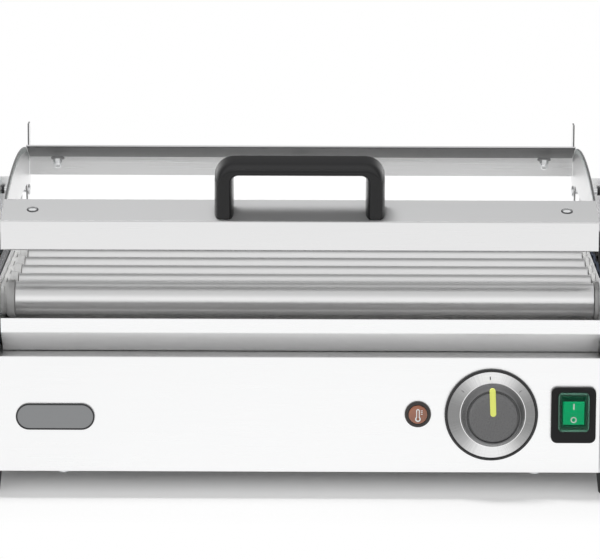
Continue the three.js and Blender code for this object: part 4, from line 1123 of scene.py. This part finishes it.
# Knob: a moulded black knob with a stepped cap, and a pointer of yellow-green plastic set in its face. It is
# pushed on the steel spindle of the thermostat, which sits behind the panel.
KNOB_PROFILE = [(0, -12.7), (6, -12.66), (12, -12.5), (16, -12.25), (17.4, -12), (18.2, -11.5),
                (18.5, -10.6), (18.5, -9.2), (19.4, -9.2), (19.6, -10.3), (20, -10.8), (20.5, -10.6),
                (20.9, -10), (23.1, -5.2), (23.6, -4), (23.7, -2.7), (3.3, -2.7), (3.3, -7.7), (0, -7.7)]
POINTER_SIZE = (4.5, 21.4, 2.2)
POINTER_RISE = 11.5
POINTER_FACES = (-13.1, -9.8)
POINTER_TURN = -2.2
knob_plastic = plain_paint("knob_plastic", (0.11, 0.11, 0.112), 0.28, 1500, 0.00002, Specular_IOR_Level=0.8)
pointer_plastic = plain_paint("pointer_plastic", (0.9, 0.95, 0.2), 0.4, 900, 0.00001)


def pointer(shape):
    bar = oblong(*POINTER_SIZE, middle=(0, POINTER_RISE))
    push(shape, bar, *POINTER_FACES, on_controls(KNOB_X, POINTER_TURN))


fit(turned("knob_body", KNOB_PROFILE, knob_place, 128, 0.3), "knob", knob_plastic, "knob", "control_knob")
fit(make("pointer_bar", pointer, 0.3), "knob", pointer_plastic, "pointer", "knob_pointer")
coat_node("control_spindle", bright_steel)
coat_node("thermostat", plain_paint("thermostat_case", (0.35, 0.36, 0.37), 0.45, metallic=0.8), 0.5)


# Pilot lamp: a domed amber lens in a dark glossy plastic bezel, with a thermometer printed on it in white.
# It is pressed into a hole in the panel.
LAMP_X = 88.9
BEZEL_PROFILE = [(0, -1.3), (7.3, -1.3), (7.4, -2.3), (8, -2.5), (9, -2.5), (9.6, -2.2), (9.9, -1.5),
                 (9.9, SEAT), (6.8, SEAT), (6.8, 20), (0, 20)]
LENS_PROFILE = [(0, -3.8), (2.5, -3.75), (4.6, -3.5), (6.2, -3), (6.9, -2.5), (7.1, -2), (7.1, -1.6),
                (0, -1.6)]
# The sign's outer and inner line, each as (half the stem's width, radius of the bulb).
SIGN_LINES = ((1.35, 2.1), (0.65, 1.15))
BULB_DROP = 3.1
STEM_RISE = 3.2
SIGN_FACES = (-4, -3.2)
DASH_PLACES = [(2.8, 0.6 + 1.3 * k) for k in range(3)]
DASH_FRONT = -3.95
bezel_plastic = plain_paint("bezel_plastic", (0.025, 0.02, 0.018), 0.25, 900, 0.00001)
amber = plain_paint("amber_lens", (0.32, 0.12, 0.065), 0.15, 300, 0.00001, Coat_Weight=0.6)
print_white = plain_paint("print_white", (0.85, 0.86, 0.85), 0.5, 900, 0.00001)


def hollow_push(shape, outer, inner, start, end, place):
    """A wall between two outlines with the same number of points."""
    rows = [corners_at(shape, line, along, place)
            for line, along in ((outer, end), (outer, start), (inner, start), (inner, end))]
    join_rows(shape, rows + rows[:1])


def sign_line(half, radius):
    """One line of the thermometer: round the bulb and over the top of the stem."""
    meet = math.asin(half / radius)
    bulb = arc(radius, math.pi / 2 + meet, 2 * (math.pi - meet), 24, (0, -BULB_DROP))
    return bulb + arc(half, 0, math.pi, 8, (0, STEM_RISE))


def thermometer(shape):
    place = on_controls(LAMP_X)
    hollow_push(shape, *[sign_line(*line) for line in SIGN_LINES], *SIGN_FACES, place)
    for dash in DASH_PLACES:
        push(shape, oblong(1.4, 0.45, 0.15, 2, dash), DASH_FRONT, SIGN_FACES[1], place)


bezel = turned("lamp_bezel_ring", BEZEL_PROFILE, on_controls(LAMP_X))
fit(bezel, "case", bezel_plastic, "lamp_bezel", "pilot_lamp_bezel")
lens = turned("lamp_lens_dome", LENS_PROFILE, on_controls(LAMP_X))
fit(lens, "case", amber, "lamp_lens", "pilot_lamp_lens")
fit(make("lamp_thermometer", thermometer), "case", print_white, "lamp_lens")


# Mains switch: a black plastic frame that snaps into the panel's window, with a green rocker marked I and O
# in its well. The rocker's lower end is pressed.
WINDOW_RISE = 3
FRAME_SIZE = (33.5, 42.4, 4.5)
FRAME_FRONT = -4
NECK_SIZE = (25.9, 31.9, 2)
NECK_FACES = (-0.5, 10.2)
BODY_SIZE = (25.7, 31.7, 2)
BODY_FACES = (10, 22)
WINDOW_SIZE = (18, 23)
WELL_SIZES = ((17.9, 22.9), (17.1, 22.1))
WELL_FACES = (-3.8, 10)
WELL_FLOOR = 9.2
ROCKER_HEIGHT = CONTROL_HEIGHT + WINDOW_RISE
ROCKER_LEAN = math.radians(6)
ROCKER = Matrix.Translation((SWITCH_X, 3, ROCKER_HEIGHT)) @ Matrix.Rotation(ROCKER_LEAN, 4, "X")
ROCKER_VIEW = [(-9.2, 9.45), (-8.3, 4.5), (-7.85, 0), (-8.3, -4.5), (-9.2, -9.45), (1.4, -5.6), (1.4, 5.6)]
ROCKER_ROUNDS = [0.8, 4, 4, 4, 0.8, 0.5, 0.5]
ROCKER_HALF = 7.9
MARK_PLACE = (-8.45, 5.2)
MARK_LEAN = math.atan2(1.35, 9.45)
INK_FACES = (-0.16, 0.2)
LINE_MARK = (0.9, 5, 0.4, 3)
RING_MARK = (2.3, 1.5)
switch_black = plain_paint("switch_black", (0.006, 0.006, 0.0065), 0.45, 1500, Specular_IOR_Level=0.25)
rocker_green = plain_paint("rocker_green", (0.003, 0.5, 0.18), 0.4, 900, 0.00001, Specular_IOR_Level=0.0)
well_green_painted_shade = plain_paint("well_green_painted_shade", (0.0, 0.05, 0.025), 0.7, 900, 0.00001, Specular_IOR_Level=0.05)


def raised(width, height):
    """An outline round the rocker's middle, which is above the frame's."""
    return oblong(width, height, 1, middle=(0, WINDOW_RISE))


def switch_frame(shape):
    place = on_controls(SWITCH_X)
    window = raised(*WINDOW_SIZE)
    hollow_push(shape, oblong(*FRAME_SIZE), window, FRAME_FRONT, SEAT, place)
    hollow_push(shape, oblong(*NECK_SIZE), window, *NECK_FACES, place)
    push(shape, oblong(*BODY_SIZE), *BODY_FACES, place)


# A dark green lining in the rocker's well: painted shade in the recess, tinted as though lit through the
# green boot.
def switch_well(shape):
    outer, inner = [raised(*size) for size in WELL_SIZES]
    hollow_push(shape, outer, inner, *WELL_FACES, on_controls(SWITCH_X))
    push(shape, inner, WELL_FLOOR, WELL_FACES[1], on_controls(SWITCH_X))


def rocker(shape):
    push(shape, rounded(ROCKER_VIEW, ROCKER_ROUNDS, 4), -ROCKER_HALF, ROCKER_HALF, ROCKER @ SIDEWAYS)


def rocker_marks(shape):
    """A ring on the lower half and a line on the upper half."""
    depth, height = MARK_PLACE
    low, high = [ROCKER @ at(0, depth, sign * height, DEEP, sign * MARK_LEAN) for sign in (-1, 1)]
    hollow_push(shape, *[ring(radius, 32) for radius in RING_MARK], *INK_FACES, low)
    push(shape, oblong(*LINE_MARK), *INK_FACES, high)


fit(make("switch_bezel", switch_frame, 0.8, 3), "case", switch_black, "switch_frame", "switch_frame")
fit(make("switch_well_shade_lining", switch_well), "case", well_green_painted_shade, "switch_frame")
fit(make("rocker_button", rocker, 0.4), "rocker", rocker_green, "rocker", "switch_rocker")
fit(make("rocker_signs", rocker_marks), "rocker", print_white, "rocker")


# Switch boot: a cap of clear soft vinyl with thicker walls that look green, stretched over the switch's well
# to keep grease out. The rocker is pressed through it. The walls are a paler, denser green: partly the
# thicker vinyl's own tint, and partly a painted highlight for the glints along its edges.
BOOT_OUTER = (23, 29, 3)
BOOT_INNER = (21.4, 27.4, 2.2)
BOOT_FACES = (-8.3, -4.3)
BOOT_SKIN_BACK = -7.7
boot_vinyl, wire, shader = new_finish("boot_vinyl", (0.05, 0.3, 0.16), 0.15, Specular_IOR_Level=0.3)
vary(shader, "Alpha", grain(wire, (60, 60, 60)) * 0.06 + 0.04)
vinyl_rim_tint_and_glint, wire, shader = new_finish("vinyl_rim_tint_and_glint", (0.2, 0.5, 0.36), 0.2)
vary(shader, "Alpha", grain(wire, (60, 60, 60)) * 0.3 + 0.1)


def boot(shape):
    place = at(SWITCH_X, 0, ROCKER_HEIGHT, DEEP)
    hollow_push(shape, oblong(*BOOT_OUTER), oblong(*BOOT_INNER), *BOOT_FACES, place)
    push(shape, oblong(*BOOT_INNER), BOOT_FACES[0], BOOT_SKIN_BACK, place)


def in_boot_wall(normal, middle):
    half_width, half_height = BOOT_INNER[0] / 2, BOOT_INNER[1] / 2
    return abs(middle.x - SWITCH_X) > half_width or abs(middle.z - ROCKER_HEIGHT) > half_height


piece = make("boot_cover", boot, 0.3)
fit(piece, "case", boot_vinyl, "boot", "switch_boot")
coat_faces(piece, vinyl_rim_tint_and_glint, in_boot_wall)


# Badge: a blank pill-shaped plate of brushed metal, stained grey, in a thin dark frame. It is glued to the
# panel, near its left end.
BADGE_X = -182.4
BADGE_HEIGHT = 63.3
BADGE_OUTER = (59, 20, 9.9, 16)
BADGE_INNER = (56.6, 17.6, 8.75, 16)
BADGE_FRONT = -1.9
BLANK_SIZE = (56.8, 17.8, 8.85, 16)
BLANK_FACES = (-1.35, -0.35)
BADGE_PLACE = at(BADGE_X, 0, BADGE_HEIGHT, DEEP)
badge_rim = plain_paint("badge_rim", (0.035, 0.035, 0.037), 0.3, 900, 0.00001, metallic=0.5)
badge_face = brushed("badge_face", (0.27, 0.275, 0.28), 0.35, (20, 1500, 1500))


def badge_frame(shape):
    hollow_push(shape, oblong(*BADGE_OUTER), oblong(*BADGE_INNER), BADGE_FRONT, SEAT, BADGE_PLACE)


def badge_blank(shape):
    push(shape, oblong(*BLANK_SIZE), *BLANK_FACES, BADGE_PLACE)


fit(make("badge_frame", badge_frame, 0.3), "case", badge_rim, "badge", "badge")
fit(make("badge_blank_face", badge_blank), "case", badge_face, "badge")
